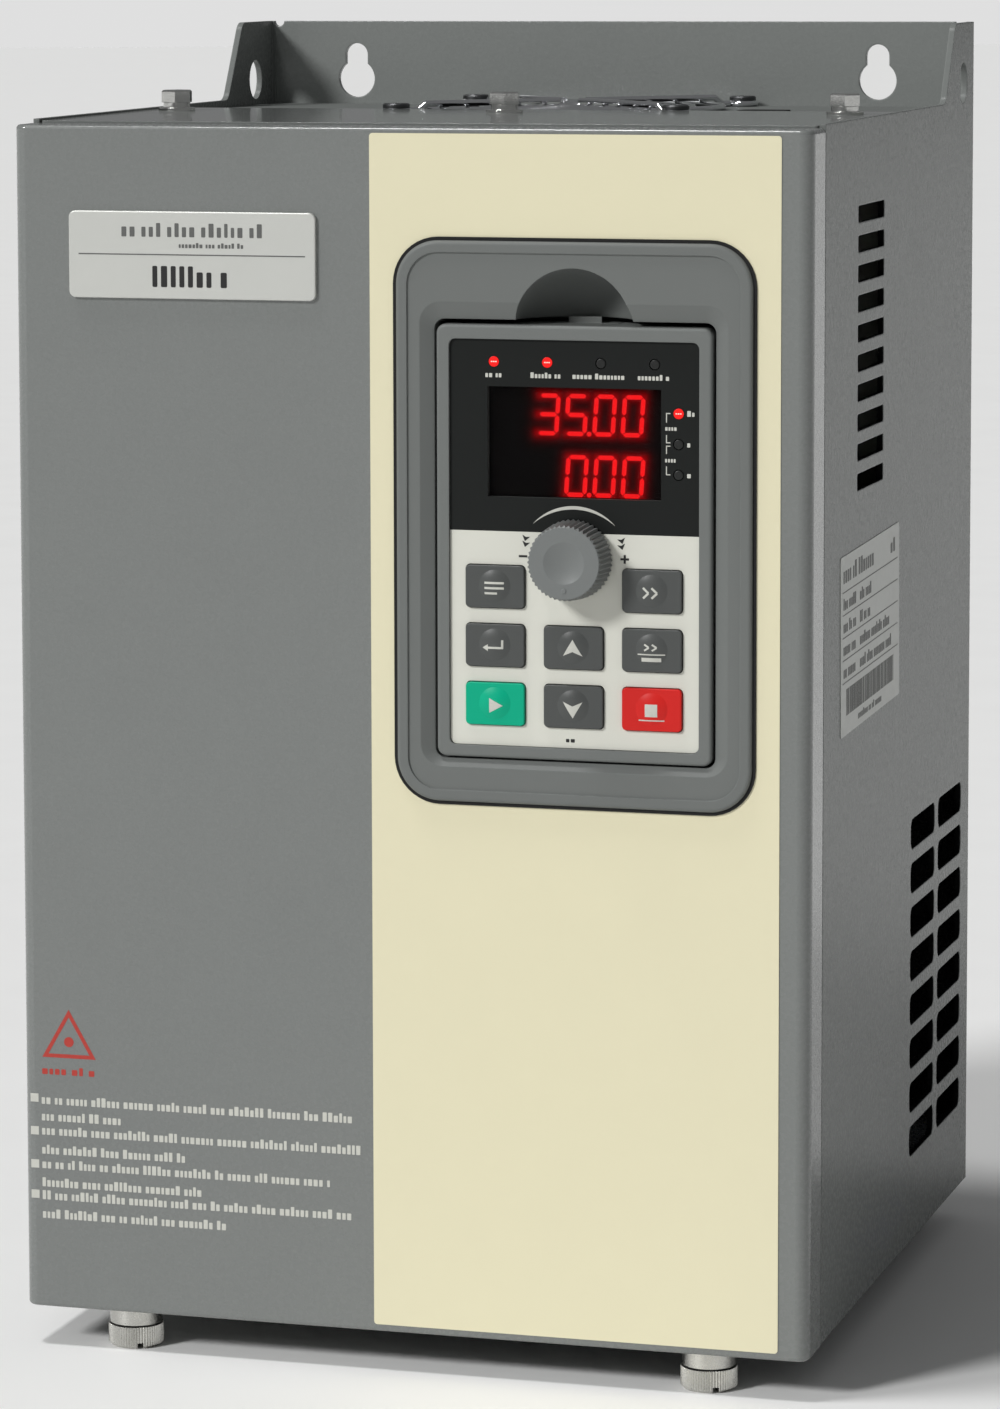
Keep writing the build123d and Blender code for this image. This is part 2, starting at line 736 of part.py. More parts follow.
# Choke in the air duct under the heat sink: laminated core and one coil.
choke_height = 64.0
choke_depth = 145.0
choke_width = 100.0
choke_tall = 78.0
choke_thick = 44.0
choke_window = (22.0, 46.0)
with BuildPart() as choke_core:
    with BuildSketch(front_plane(choke_depth - choke_thick / 2)):
        with Locations((0, up(choke_height))):
            Rectangle(choke_width, choke_tall)
            with GridLocations(choke_width / 2, 0, 2, 1):
                Rectangle(*choke_window, mode=Mode.SUBTRACT)
    extrude(amount=-choke_thick)
    with BuildSketch(level_plane(bottom_plate_height + sheet)):
        with Locations((-42, back(choke_depth)), (42, back(choke_depth))):
            Rectangle(12, choke_thick)
    extrude(amount=choke_height - choke_tall / 2 - bottom_plate_height - sheet)
choke_core.part.label = "choke_core"
export_step(choke_core.part, "parts/choke_core.step")

with BuildPart() as choke_coil:
    with BuildSketch(level_plane(choke_height - choke_window[1] / 2 + 1)):
        with Locations((0, back(choke_depth))):
            RectangleRounded(66, 74, 14)
            Rectangle(28.6, choke_thick + 0.6, mode=Mode.SUBTRACT)
    extrude(amount=choke_window[1] - 2)
choke_coil.part.label = "choke_coil"
export_step(choke_coil.part, "parts/choke_coil.step")

# ================================================================ control section

with BuildPart() as control_bracket:
    with BuildSketch(front_plane(bracket_depth)):
        with Locations((0, up(bracket_bottom + bracket_size[1] / 2))):
            Rectangle(*bracket_size)
            with GridLocations(100, 60, 2, 1):
                RectangleRounded(50, 60, 6, mode=Mode.SUBTRACT)
    extrude(amount=-sheet)
    with BuildSketch(level_plane(bracket_bottom)):
        with Locations((0, (back(bracket_depth) + back(partition_depth)) / 2)):
            with GridLocations(bracket_size[0] - sheet, 0, 2, 1):
                Rectangle(sheet, partition_depth - bracket_depth)
    extrude(amount=bracket_size[1])
control_bracket.part.label = "control_bracket"
export_step(control_bracket.part, "parts/control_bracket.step")

with BuildPart() as control_board:
    with BuildSketch(front_plane(control_board_depth)):
        with Locations((0, up(control_board_middle))):
            RectangleRounded(*control_board_size, 2)
            with GridLocations(*control_post_pitch, 2, 2):
                Circle(1.8, mode=Mode.SUBTRACT)
    extrude(amount=-board_thickness)
control_board.part.label = "control_board"
export_step(control_board.part, "parts/control_board.step")

way_count = 22
way_pitch = 5.0
with BuildPart() as control_terminals:
    with BuildSketch(front_plane(control_board_depth)):
        with Locations((0, up(86))):
            Rectangle(way_count * way_pitch + 2, 10)
    extrude(amount=11)
    with BuildSketch(front_plane(control_board_depth - 11)):
        with Locations((0, up(88.5))):
            with GridLocations(way_pitch, 0, way_count, 1):
                Circle(1.7)
    extrude(amount=-2.5, mode=Mode.SUBTRACT)
    with BuildSketch(level_plane(81)):
        with Locations((0, back(control_board_depth - 5.5))):
            with GridLocations(way_pitch, 0, way_count, 1):
                Rectangle(3.2, 4)
    extrude(amount=3.5, mode=Mode.SUBTRACT)
control_terminals.part.label = "control_terminals"
export_step(control_terminals.part, "parts/control_terminals.step")

# ================================================================ front cover

with BuildPart() as front_cover:
    with BuildSketch(level_plane(0)):
        with Locations((0, back(cover_depth / 2))):
            cover_outline = Rectangle(body_width, cover_depth)
        fillet(cover_outline.vertices().sort_by(Axis.Y)[:2], cover_side_radius)
    extrude(amount=cover_height)
    face_edges = front_cover.faces().sort_by(Axis.Y)[0].edges()
    fillet(face_edges.filter_by(Axis.X), cover_top_radius)
    with BuildSketch(level_plane(cover_sheet)):
        with Locations((0, back((cover_sheet + cover_depth) / 2))):
            inner_outline = Rectangle(body_width - 2 * cover_sheet, cover_depth - cover_sheet)
        fillet(inner_outline.vertices().sort_by(Axis.Y)[:2], cover_side_radius - cover_sheet)
    extrude(amount=cover_height - 2 * cover_sheet, mode=Mode.SUBTRACT)
    with BuildSketch(front_plane(0)):
        with Locations((keypad_x, up(cutout_middle))):
            RectangleRounded(*cutout_size, cutout_corner)
    extrude(amount=-cover_sheet - 1, mode=Mode.SUBTRACT)
    with BuildSketch(level_plane(0)):
        with Locations(*thumb_places):
            Circle(3.1)
    extrude(amount=cover_sheet, mode=Mode.SUBTRACT)
    # Joggled tongues that hook behind the deck's front lip.
    for x in (-tongue_x, tongue_x):
        with BuildSketch(Plane.YZ.offset(x - tongue_width / 2)):
            with BuildLine():
                Polyline(
                    (back(tongue_root), up(cover_height - cover_sheet)),
                    (back(tongue_root), up(tongue_height)),
                    (back(tongue_tip), up(tongue_height)),
                    (back(tongue_tip), up(tongue_height + cover_sheet)),
                    (back(tongue_root + cover_sheet), up(tongue_height + cover_sheet)),
                    (back(tongue_root + cover_sheet), up(cover_height - cover_sheet)),
                    close=True,
                )
            make_face()
        extrude(amount=tongue_width)
front_cover.part.label = "front_cover"
export_step(front_cover.part, "parts/front_cover.step")

with BuildPart() as cream_film:
    with BuildSketch(front_plane(0)):
        with Locations(((film_left + film_right) / 2, up((film_bottom + film_top) / 2))):
            RectangleRounded(film_right - film_left, film_top - film_bottom, film_corner)
        with Locations((keypad_x, up(cutout_middle))):
            RectangleRounded(*cutout_size, cutout_corner, mode=Mode.SUBTRACT)
    extrude(amount=film_thickness)
cream_film.part.label = "cream_film"
export_step(cream_film.part, "parts/cream_film.step")

with BuildPart() as name_plate:
    with BuildSketch(front_plane(0)):
        with Locations((name_plate_middle[0], up(name_plate_middle[1]))):
            RectangleRounded(*name_plate_size, 1.6)
    extrude(amount=1.0)
    fillet(name_plate.faces().sort_by(Axis.Y)[0].edges(), 0.3)
name_plate.part.label = "name_plate"
export_step(name_plate.part, "parts/name_plate.step")

with BuildPart() as rating_label:
    with BuildSketch(Plane.YZ.offset(half_width)):
        with Locations((back(label_middle[0]), up(label_middle[1]))):
            RectangleRounded(*label_size, 0.8, rotation=label_tilt)
    extrude(amount=0.15)
rating_label.part.label = "rating_label"
export_step(rating_label.part, "parts/rating_label.step")

sleeve_height = 3.7
sleeve_radius = 6.2
with BuildPart() as thumb_sleeves:
    with BuildSketch(level_plane(-sleeve_height)):
        with Locations(*thumb_places):
            Circle(sleeve_radius)
            Circle(3.0, mode=Mode.SUBTRACT)
    extrude(amount=sleeve_height)
thumb_sleeves.part.label = "thumb_sleeves"
export_step(thumb_sleeves.part, "parts/thumb_sleeves.step")

stud_radius = 2.45
nut_base = tab_height + sheet + 0.3
with BuildPart() as clamp_nuts:
    with BuildSketch(level_plane(nut_base)):
        with Locations(*thumb_places):
            RectangleRounded(8, 8, 0.6)
            Circle(stud_radius + running_gap, mode=Mode.SUBTRACT)
    extrude(amount=4)
clamp_nuts.part.label = "clamp_nuts"
export_step(clamp_nuts.part, "parts/clamp_nuts.step")

head_top = -sleeve_height - 0.4
head_height = 5.2
head_radius = 6.6
head_bevel_radius = 5.8
for side, place in zip(("left", "right"), thumb_places):
    with BuildPart() as thumb_screw:
        with BuildSketch(level_plane(head_top - head_height)):
            with Locations(place):
                Polygon(*toothed(head_radius, 0.28, 60), align=None)
        extrude(amount=head_height)
        with Locations((*place, up(head_top - head_height / 2))):
            Cone(head_bevel_radius, head_bevel_radius + head_height, head_height, mode=Mode.INTERSECT)
        with BuildSketch(level_plane(head_top - head_height)):
            with Locations(place):
                Rectangle(1.4, 14, rotation=28)
        extrude(amount=1.4, mode=Mode.SUBTRACT)
        with BuildSketch(level_plane(head_top)):
            with Locations(place):
                Circle(stud_radius)
        extrude(amount=nut_base + 5 - head_top)
    thumb_screw.part.label = f"thumb_screw_{side}"
    export_step(thumb_screw.part, f"parts/thumb_screw_{side}.step")

# Moulded tray that the keypad plugs into.
with BuildPart() as keypad_tray:
    with BuildSketch(front_plane(-film_thickness)):
        with Locations((keypad_x, up(tray_middle))):
            RectangleRounded(*tray_size, 10)
    extrude(amount=-film_thickness - tray_front)
    fillet(keypad_tray.faces().sort_by(Axis.Y)[0].edges(), 0.9)
    with BuildSketch(front_plane(-film_thickness)):
        with Locations((keypad_x, up(pocket_middle))):
            RectangleRounded(pocket_size[0] + 8, pocket_size[1] + 8, 6)
    extrude(amount=-3.2)
    with BuildSketch(front_plane(-film_thickness)):
        with Locations((keypad_x, up(pocket_middle))):
            RectangleRounded(pocket_size[0] + 3.6, pocket_size[1] + 3.6, 3)
    extrude(amount=-tray_rear - film_thickness)
    # Finger scoop above the pocket: a hemispherical bowl.
    with Locations((keypad_x, back(0.5), up(scoop_height))):
        Sphere(scoop_radius + 1.7)
    with BuildSketch(front_plane(-film_thickness - 20)):
        with Locations((keypad_x, up(tray_middle))):
            Rectangle(120, 160)
    extrude(amount=-20 - film_thickness - tray_front, mode=Mode.SUBTRACT)
    with BuildSketch(front_plane(tray_front)):
        with Locations((keypad_x, up(tray_middle))):
            RectangleRounded(tray_size[0] - 5.4, tray_size[1] - 5.4, 7.4)
    extrude(amount=-(tray_face - tray_front), mode=Mode.SUBTRACT)
    with BuildSketch(front_plane(tray_front)):
        with Locations((keypad_x, up(pocket_middle))):
            RectangleRounded(*pocket_size, 2.4)
    extrude(amount=-(pocket_floor - tray_front), mode=Mode.SUBTRACT)
    with Locations((keypad_x, back(0.5), up(scoop_height))):
        Sphere(scoop_radius, mode=Mode.SUBTRACT)
    # Shallow bevel that leads into the pocket.
    with BuildSketch(front_plane(tray_face), mode=Mode.PRIVATE) as bevel_mouth:
        with Locations((keypad_x, up(pocket_middle + 1.1))):
            RectangleRounded(pocket_size[0] + 6.2, pocket_size[1] + 5.8, 5)
    with BuildSketch(front_plane(0.5), mode=Mode.PRIVATE) as bevel_throat:
        with Locations((keypad_x, up(pocket_middle))):
            RectangleRounded(*pocket_size, 2.4)
    loft(sections=[bevel_mouth.sketch, bevel_throat.sketch], mode=Mode.SUBTRACT)
    # Shroud of the keypad's connector on the pocket's floor.
    with BuildSketch(front_plane(pocket_floor)):
        with Locations((keypad_x, up(socket_height))):
            RectangleRounded(17, 13, 1)
            Rectangle(13, 9, mode=Mode.SUBTRACT)
    extrude(amount=2.9)
keypad_tray.part.label = "keypad_tray"
export_step(keypad_tray.part, "parts/keypad_tray.step")

# ================================================================ keypad

with BuildPart() as keypad_front_case:
    with BuildSketch(front_plane(keypad_split)):
        with Locations((keypad_x, up(keypad_middle))):
            RectangleRounded(*keypad_size, 2.2)
    extrude(amount=keypad_split - keypad_front)
    fillet(keypad_front_case.faces().sort_by(Axis.Y)[0].edges(), 0.8)
    with BuildSketch(front_plane(keypad_front)):
        with Locations((keypad_x, up(overlay_middle))):
            RectangleRounded(overlay_size[0] + 0.2, overlay_size[1] + 0.2, 1.6)
    recess_floor = overlay_front + overlay_sheet
    extrude(amount=-(recess_floor - keypad_front), mode=Mode.SUBTRACT)
    with BuildSketch(front_plane(keypad_split)):
        with Locations((keypad_x, up(keypad_middle))):
            Rectangle(keypad_size[0] - 2 * case_wall, keypad_size[1] - 2 * case_wall)
    extrude(amount=keypad_split - recess_floor - case_wall, mode=Mode.SUBTRACT)
    with BuildSketch(front_plane(recess_floor)):
        with Locations(*key_places):
            RectangleRounded(key_size[0] + 2 * key_gap, key_size[1] + 2 * key_gap, 1.2)
        with Locations((keypad_x, up(window_middle))):
            Rectangle(window_size[0] + 0.4, window_size[1] + 0.4)
        with Locations(*led_places):
            Circle(led_radius + 0.2)
        with Locations((keypad_x, up(knob_height))):
            Circle(4.6)
    extrude(amount=-case_wall, mode=Mode.SUBTRACT)
keypad_front_case.part.label = "keypad_front_case"
export_step(keypad_front_case.part, "parts/keypad_front_case.step")

overlay_bottom = overlay_middle - overlay_size[1] / 2
overlay_top = overlay_middle + overlay_size[1] / 2
with BuildPart() as key_overlay:
    with BuildSketch(front_plane(recess_floor)):
        with Locations((keypad_x, up((overlay_bottom + overlay_edge) / 2))):
            white_area = Rectangle(overlay_size[0], overlay_edge - overlay_bottom)
        fillet(white_area.vertices().sort_by(Axis.Y)[:2], 1.5)
        with Locations(*key_places):
            RectangleRounded(key_size[0] + 2 * key_gap, key_size[1] + 2 * key_gap, 1.2,
                             mode=Mode.SUBTRACT)
        with Locations((keypad_x, up(knob_height))):
            Circle(4.6, mode=Mode.SUBTRACT)
    extrude(amount=overlay_sheet)
key_overlay.part.label = "key_overlay"
export_step(key_overlay.part, "parts/key_overlay.step")

with BuildPart() as display_overlay:
    with BuildSketch(front_plane(recess_floor)):
        with Locations((keypad_x, up((overlay_edge + overlay_top) / 2))):
            black_area = Rectangle(overlay_size[0], overlay_top - overlay_edge)
        fillet(black_area.vertices().sort_by(Axis.Y)[-2:], 1.5)
        with Locations((keypad_x, up(window_middle))):
            Rectangle(window_size[0] + 0.2, window_size[1] + 0.2, mode=Mode.SUBTRACT)
        with Locations(*led_places):
            Circle(led_radius + 0.1, mode=Mode.SUBTRACT)
    extrude(amount=overlay_sheet)
display_overlay.part.label = "display_overlay"
export_step(display_overlay.part, "parts/display_overlay.step")

with BuildPart() as display_window:
    with BuildSketch(front_plane(overlay_front + 1.2)):
        with Locations((keypad_x, up(window_middle))):
            Rectangle(*window_size)
    extrude(amount=1.2)
display_window.part.label = "display_window"
export_step(display_window.part, "parts/display_window.step")

board_front = 6.4
with BuildPart() as display_module:
    with BuildSketch(front_plane(board_front)):
        with Locations((keypad_x, up(window_middle))):
            Rectangle(window_size[0] + 1.5, window_size[1] + 1)
    extrude(amount=board_front - 2.0)
display_module.part.label = "display_module"
export_step(display_module.part, "parts/display_module.step")

with BuildPart() as indicator_leds:
    with BuildSketch(front_plane(board_front)):
        with Locations(*led_places):
            Circle(led_radius)
    extrude(amount=board_front - overlay_front)
    fillet(indicator_leds.faces().sort_by(Axis.Y)[:7].edges(), 0.4)
indicator_leds.part.label = "indicator_leds"
export_step(indicator_leds.part, "parts/indicator_leds.step")

with BuildPart() as keypad_board:
    with BuildSketch(front_plane(board_front)):
        with Locations((keypad_x, up(keypad_middle))):
            RectangleRounded(61.0, 95.6, 1)
    extrude(amount=-board_thickness)
keypad_board.part.label = "keypad_board"
export_step(keypad_board.part, "parts/keypad_board.step")

switch_front = 4.1
with BuildPart() as key_switches:
    with BuildSketch(front_plane(board_front)):
        with Locations(*key_places):
            RectangleRounded(6, 6, 0.5)
    extrude(amount=1.6)
    with BuildSketch(front_plane(board_front - 1.6)):
        with Locations(*key_places):
            Circle(1.7)
    extrude(amount=board_front - 1.6 - switch_front)
key_switches.part.label = "key_switches"
export_step(key_switches.part, "parts/key_switches.step")

wall_back = recess_floor + case_wall
for name, (x, height) in keys.items():
    with BuildPart() as key:
        with BuildSketch(front_plane(wall_back + 0.1)):
            with Locations((keypad_x + x, up(height))):
                RectangleRounded(*key_size, 1.0)
        extrude(amount=wall_back + 0.1 - key_front)
        fillet(key.faces().sort_by(Axis.Y)[0].edges(), 0.25)
        # Low round dome near the middle of the cap.
        dome_height = up(height + dome_rise)
        with BuildSketch(Plane.XY.offset(dome_height)):
            with BuildLine():
                dome_arc = ThreePointArc(
                    (keypad_x + x - dome_radius, back(key_front)),
                    (keypad_x + x, back(key_front - dome_crown)),
                    (keypad_x + x + dome_radius, back(key_front)),
                )
                Polyline(
                    dome_arc @ 1,
                    (keypad_x + x + dome_radius, back(key_front + 0.3)),
                    (keypad_x + x - dome_radius, back(key_front + 0.3)),
                    dome_arc @ 0,
                )
            make_face()
            with Locations((keypad_x + x - 5, back(key_front))):
                Rectangle(10, 10, mode=Mode.SUBTRACT)
        revolve(axis=Axis((keypad_x + x, 0, dome_height), (0, 1, 0)))
        with BuildSketch(front_plane(wall_back + 0.9)):
            with Locations((keypad_x + x, up(height))):
                Rectangle(key_size[0] + 1.5, key_size[1] + 1.5)
        extrude(amount=0.8)
        with BuildSketch(front_plane(switch_front - key_travel - 0.1)):
            with Locations((keypad_x + x, up(height))):
                Circle(1.5)
        extrude(amount=switch_front - key_travel - 0.1 - wall_back)
    key.part.label = name
    export_step(key.part, f"parts/{name}.step")

with BuildPart() as encoder_body:
    with BuildSketch(front_plane(board_front)):
        with Locations((keypad_x, up(knob_height))):
            RectangleRounded(12.4, 12.4, 0.6)
    extrude(amount=board_front - wall_back - 0.3)
    with BuildSketch(front_plane(wall_back + 0.3)):
        with Locations((keypad_x, up(knob_height))):
            Circle(4.4)
    extrude(amount=1.6)
    with BuildSketch(front_plane(board_front - 0.8)):
        with Locations((keypad_x, up(knob_height))):
            Circle(shaft_radius + running_gap)
    extrude(amount=8, mode=Mode.SUBTRACT)
encoder_body.part.label = "encoder_body"
export_step(encoder_body.part, "parts/encoder_body.step")

shaft_front = knob_front + 2.4
with BuildPart() as encoder_shaft:
    with BuildSketch(front_plane(board_front - 1.0)):
        with Locations((keypad_x, up(knob_height))):
            Circle(shaft_radius)
    extrude(amount=board_front - 1.0 - shaft_front)
encoder_shaft.part.label = "encoder_shaft"
export_step(encoder_shaft.part, "parts/encoder_shaft.step")

# Knurled, slightly flared knob with a shallow dish in its face.
dish_ball = (dish_radius ** 2 + dish_depth ** 2) / (2 * dish_depth)
with BuildPart() as knob:
    with BuildSketch(front_plane(knob_front)):
        with Locations((keypad_x, up(knob_height))):
            Polygon(*toothed(knob_front_radius, knob_tooth, knob_teeth), align=None)
    with BuildSketch(front_plane(knob_rear)):
        with Locations((keypad_x, up(knob_height))):
            Polygon(*toothed(knob_rear_radius, knob_tooth, knob_teeth), align=None)
    loft(ruled=True)
    with BuildSketch(front_plane(knob_rear)):
        with Locations((keypad_x, up(knob_height))):
            Circle(shaft_radius)
    extrude(amount=knob_rear - shaft_front, mode=Mode.SUBTRACT)
    with Locations((keypad_x, back(knob_front + dish_depth - dish_ball), up(knob_height))):
        Sphere(dish_ball, mode=Mode.SUBTRACT)
    knob_length = knob_rear - knob_front
    with Locations((keypad_x, back(knob_front + knob_length / 2), up(knob_height))):
        Cone(knob_face_radius + knob_length, knob_face_radius, knob_length,
             rotation=(90, 0, 0), mode=Mode.INTERSECT)
knob.part.label = "knob"
export_step(knob.part, "parts/knob.step")

with BuildPart() as keypad_rear_case:
    with BuildSketch(front_plane(keypad_rear)):
        with Locations((keypad_x, up(keypad_middle))):
            RectangleRounded(*keypad_size, 2.2)
    extrude(amount=keypad_rear - keypad_split - 0.05)
    fillet(keypad_rear_case.faces().sort_by(Axis.Y)[-1].edges(), 1.0)
    with BuildSketch(front_plane(keypad_rear - case_wall)):
        with Locations((keypad_x, up(keypad_middle))):
            Rectangle(keypad_size[0] - 2 * case_wall, keypad_size[1] - 2 * case_wall)
    extrude(amount=keypad_rear - case_wall - keypad_split, mode=Mode.SUBTRACT)
    with BuildSketch(level_plane(keypad_middle + keypad_size[1] / 2 - 3)):
        with Locations((keypad_x, back(sum(latch_opening) / 2))):
            Rectangle(2 * latch_half + 0.8, latch_opening[1] - latch_opening[0])
    extrude(amount=4, mode=Mode.SUBTRACT)
    # Plug that enters the tray's shroud.
    with BuildSketch(front_plane(keypad_rear - 0.2)):
        with Locations((keypad_x, up(socket_height))):
            Rectangle(12.2, 8.2)
    extrude(amount=-2.8)
keypad_rear_case.part.label = "keypad_rear_case"
export_step(keypad_rear_case.part, "parts/keypad_rear_case.step")

# Springy release tab in the top of the keypad's rear shell.
with BuildPart() as keypad_latch:
    with BuildSketch(Plane.YZ.offset(keypad_x - latch_half)):
        with Locations((back(latch_front), up(latch_bottom))):
            Rectangle(latch_rear - latch_front, latch_thickness, align=(Align.MIN, Align.MIN))
    extrude(amount=2 * latch_half)
    with BuildSketch(level_plane(latch_bottom + latch_thickness)):
        with Locations((keypad_x, back(latch_front + 2.2))):
            Trapezoid(7.8, 2.4, 75)
    extrude(amount=1.4)
keypad_latch.part.label = "keypad_latch"
export_step(keypad_latch.part, "parts/keypad_latch.step")
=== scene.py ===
import random
from math import asin, cos, exp, hypot, pi, radians, sin, sqrt

import bmesh
import bpy
from mathutils import Matrix, Vector


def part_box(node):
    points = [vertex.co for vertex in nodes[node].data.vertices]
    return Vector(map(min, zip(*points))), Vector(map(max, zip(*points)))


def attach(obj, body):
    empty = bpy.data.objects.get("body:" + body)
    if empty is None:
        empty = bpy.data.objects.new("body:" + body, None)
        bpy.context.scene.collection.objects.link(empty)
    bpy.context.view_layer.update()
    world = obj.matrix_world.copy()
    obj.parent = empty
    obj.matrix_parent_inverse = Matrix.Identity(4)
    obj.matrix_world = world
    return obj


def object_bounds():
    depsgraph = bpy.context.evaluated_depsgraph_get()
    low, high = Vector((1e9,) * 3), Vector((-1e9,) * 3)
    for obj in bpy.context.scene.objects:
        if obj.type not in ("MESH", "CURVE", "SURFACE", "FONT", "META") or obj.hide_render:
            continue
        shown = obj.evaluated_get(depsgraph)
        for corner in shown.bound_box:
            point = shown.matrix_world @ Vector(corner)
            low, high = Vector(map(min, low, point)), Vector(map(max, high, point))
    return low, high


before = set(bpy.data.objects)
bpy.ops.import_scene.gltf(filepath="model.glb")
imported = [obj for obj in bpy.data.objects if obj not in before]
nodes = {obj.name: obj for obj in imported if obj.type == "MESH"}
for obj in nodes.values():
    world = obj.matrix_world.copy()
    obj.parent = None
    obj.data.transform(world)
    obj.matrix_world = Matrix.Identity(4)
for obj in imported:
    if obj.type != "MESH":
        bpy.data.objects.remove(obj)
cad_low, cad_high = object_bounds()
dice = random.Random(7)

MM = 0.001
cover_low, cover_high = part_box("front_cover")
deck_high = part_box("top_deck")[1]
plate_low_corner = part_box("bottom_plate")[0]
foot_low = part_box("thumb_screw_left")[0]


# ---------------------------------------------------------------- places and outlines
def front(x, height, depth):
    """Point from X, height above the cover's lower edge and depth behind its face, in mm."""
    return Vector((x * MM, cover_low[1] + depth * MM, cover_low[2] + height * MM))


def flank(depth, height, x):
    """Point on a plane parallel to the sides."""
    return front(x, height, depth)


def level(x, depth, height):
    """Point on a horizontal plane."""
    return front(x, height, depth)


def in_mm(node):
    """(x, depth, height) of a node's lowest and highest corners."""
    low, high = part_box(node)
    return [(p[0] / MM, (p[1] - cover_low[1]) / MM, (p[2] - cover_low[2]) / MM) for p in (low, high)]


def rect(x, y, width, height):
    return [(x + i * width / 2, y + j * height / 2) for i, j in ((-1, -1), (1, -1), (1, 1), (-1, 1))]


def rounded(x, y, width, height, radius, steps=5):
    points = []
    for corner, (i, j) in enumerate(((1, 1), (-1, 1), (-1, -1), (1, -1))):
        for k in range(steps + 1):
            angle = (corner + k / steps) * pi / 2
            points.append((x + i * (width / 2 - radius) + radius * cos(angle),
                           y + j * (height / 2 - radius) + radius * sin(angle)))
    return points


def disc(x, y, radius, count=32):
    return [(x + radius * cos(2 * pi * i / count), y + radius * sin(2 * pi * i / count))
            for i in range(count)]


def stroke(x0, y0, x1, y1, width):
    length = hypot(x1 - x0, y1 - y0)
    nx, ny = -(y1 - y0) / length * width / 2, (x1 - x0) / length * width / 2
    return [(x0 - nx, y0 - ny), (x1 - nx, y1 - ny), (x1 + nx, y1 + ny), (x0 + nx, y0 + ny)]


def turned(outline, degrees, x, y):
    c, s = cos(radians(degrees)), sin(radians(degrees))
    return [(x + (u - x) * c - (v - y) * s, y + (u - x) * s + (v - y) * c) for u, v in outline]


def words(x0, x1, y, tall, wide, gap=0.4):
    """Blocks in groups like the grey text of a draft: no letters. The gap is a share of the width."""
    outlines = []
    x = x0
    while x < x1 - wide:
        for i in range(dice.randint(2, 8)):
            if x > x1 - wide:
                break
            rise = dice.choice((0.72, 0.72, 0.72, 1.0))
            width = wide * dice.choice((0.8, 1.0, 1.0, 1.2))
            outlines.append(rounded(x + width / 2, y + tall * rise / 2, width, tall * rise, 0.18 * wide, 2))
            x += width + gap * wide
        x += 0.9 * wide
    return outlines


# ---------------------------------------------------------------- mesh builders
def prism(bm, outline, near, far, place):
    first = [bm.verts.new(place(u, v, near)) for u, v in outline]
    second = [bm.verts.new(place(u, v, far)) for u, v in outline]
    bm.faces.new(first)
    bm.faces.new(second[::-1])
    for i in range(len(outline)):
        j = (i + 1) % len(outline)
        bm.faces.new((first[j], first[i], second[i], second[j]))


def add(name, bm, body, material, bevel=0.0, smooth=False):
    """Turns a bmesh into a piece that rides on a body."""
    bmesh.ops.recalc_face_normals(bm, faces=bm.faces)
    mesh = bpy.data.meshes.new(name)
    bm.to_mesh(mesh)
    bm.free()
    piece = bpy.data.objects.new(name, mesh)
    bpy.context.scene.collection.objects.link(piece)
    mesh.materials.append(material)
    if smooth:
        mesh.polygons.foreach_set("use_smooth", [True] * len(mesh.polygons))
    if bevel:
        rounding = piece.modifiers.new("rounding", "BEVEL")
        rounding.width = bevel * MM
        rounding.segments = 2
        rounding.limit_method = "ANGLE"
    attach(piece, body)
    return piece


def flats(name, outlines, near, far, place, body, material, bevel=0.0):
    """One piece made of prisms."""
    bm = bmesh.new()
    for outline in outlines:
        prism(bm, outline, near, far, place)
    return add(name, bm, body, material, bevel)


def draped(name, outlines, surface, lift, body, material):
    """Thin print that follows a curved face; surface(x, height) gives the face's depth."""
    bm = bmesh.new()
    for outline in outlines:
        bm.faces.new([bm.verts.new((u, v, 0)) for u, v in outline])
    bmesh.ops.triangulate(bm, faces=bm.faces)
    for i in range(2):
        bmesh.ops.subdivide_edges(bm, edges=bm.edges, cuts=1, use_grid_fill=True)
        bmesh.ops.triangulate(bm, faces=bm.faces)
    shell = bmesh.ops.extrude_face_region(bm, geom=bm.faces[:])
    raised = {v for v in shell["geom"] if isinstance(v, bmesh.types.BMVert)}
    for v in bm.verts:
        v.co = front(v.co.x, v.co.y, surface(v.co.x, v.co.y) - (lift if v in raised else -0.05))
    return add(name, bm, body, material)


def band(bm, outer, inner, near, far, place):
    """Closed strip between two outlines of the same number of points."""
    rims = [[bm.verts.new(place(u, v, depth)) for u, v in outline] for outline in (outer, inner)
            for depth in (near, far)]
    for a, b in ((0, 1), (1, 3), (3, 2), (2, 0)):
        for i in range(len(outer)):
            j = (i + 1) % len(outer)
            bm.faces.new((rims[a][i], rims[a][j], rims[b][j], rims[b][i]))


def cylinder(bm, x, height, radius, near, far, count=24):
    prism(bm, disc(x, height, radius, count), near, far, front)


# ---------------------------------------------------------------- finishes
def rgb(red, green, blue):
    """Linear colour of 0-255 display values."""
    return tuple(((c / 255 + 0.055) / 1.055) ** 2.4 if c > 10 else c / 255 / 12.92
                 for c in (red, green, blue)) + (1.0,)


def tint(colour, amount):
    return tuple(min(1.0, c * amount) for c in colour[:3]) + (1.0,)


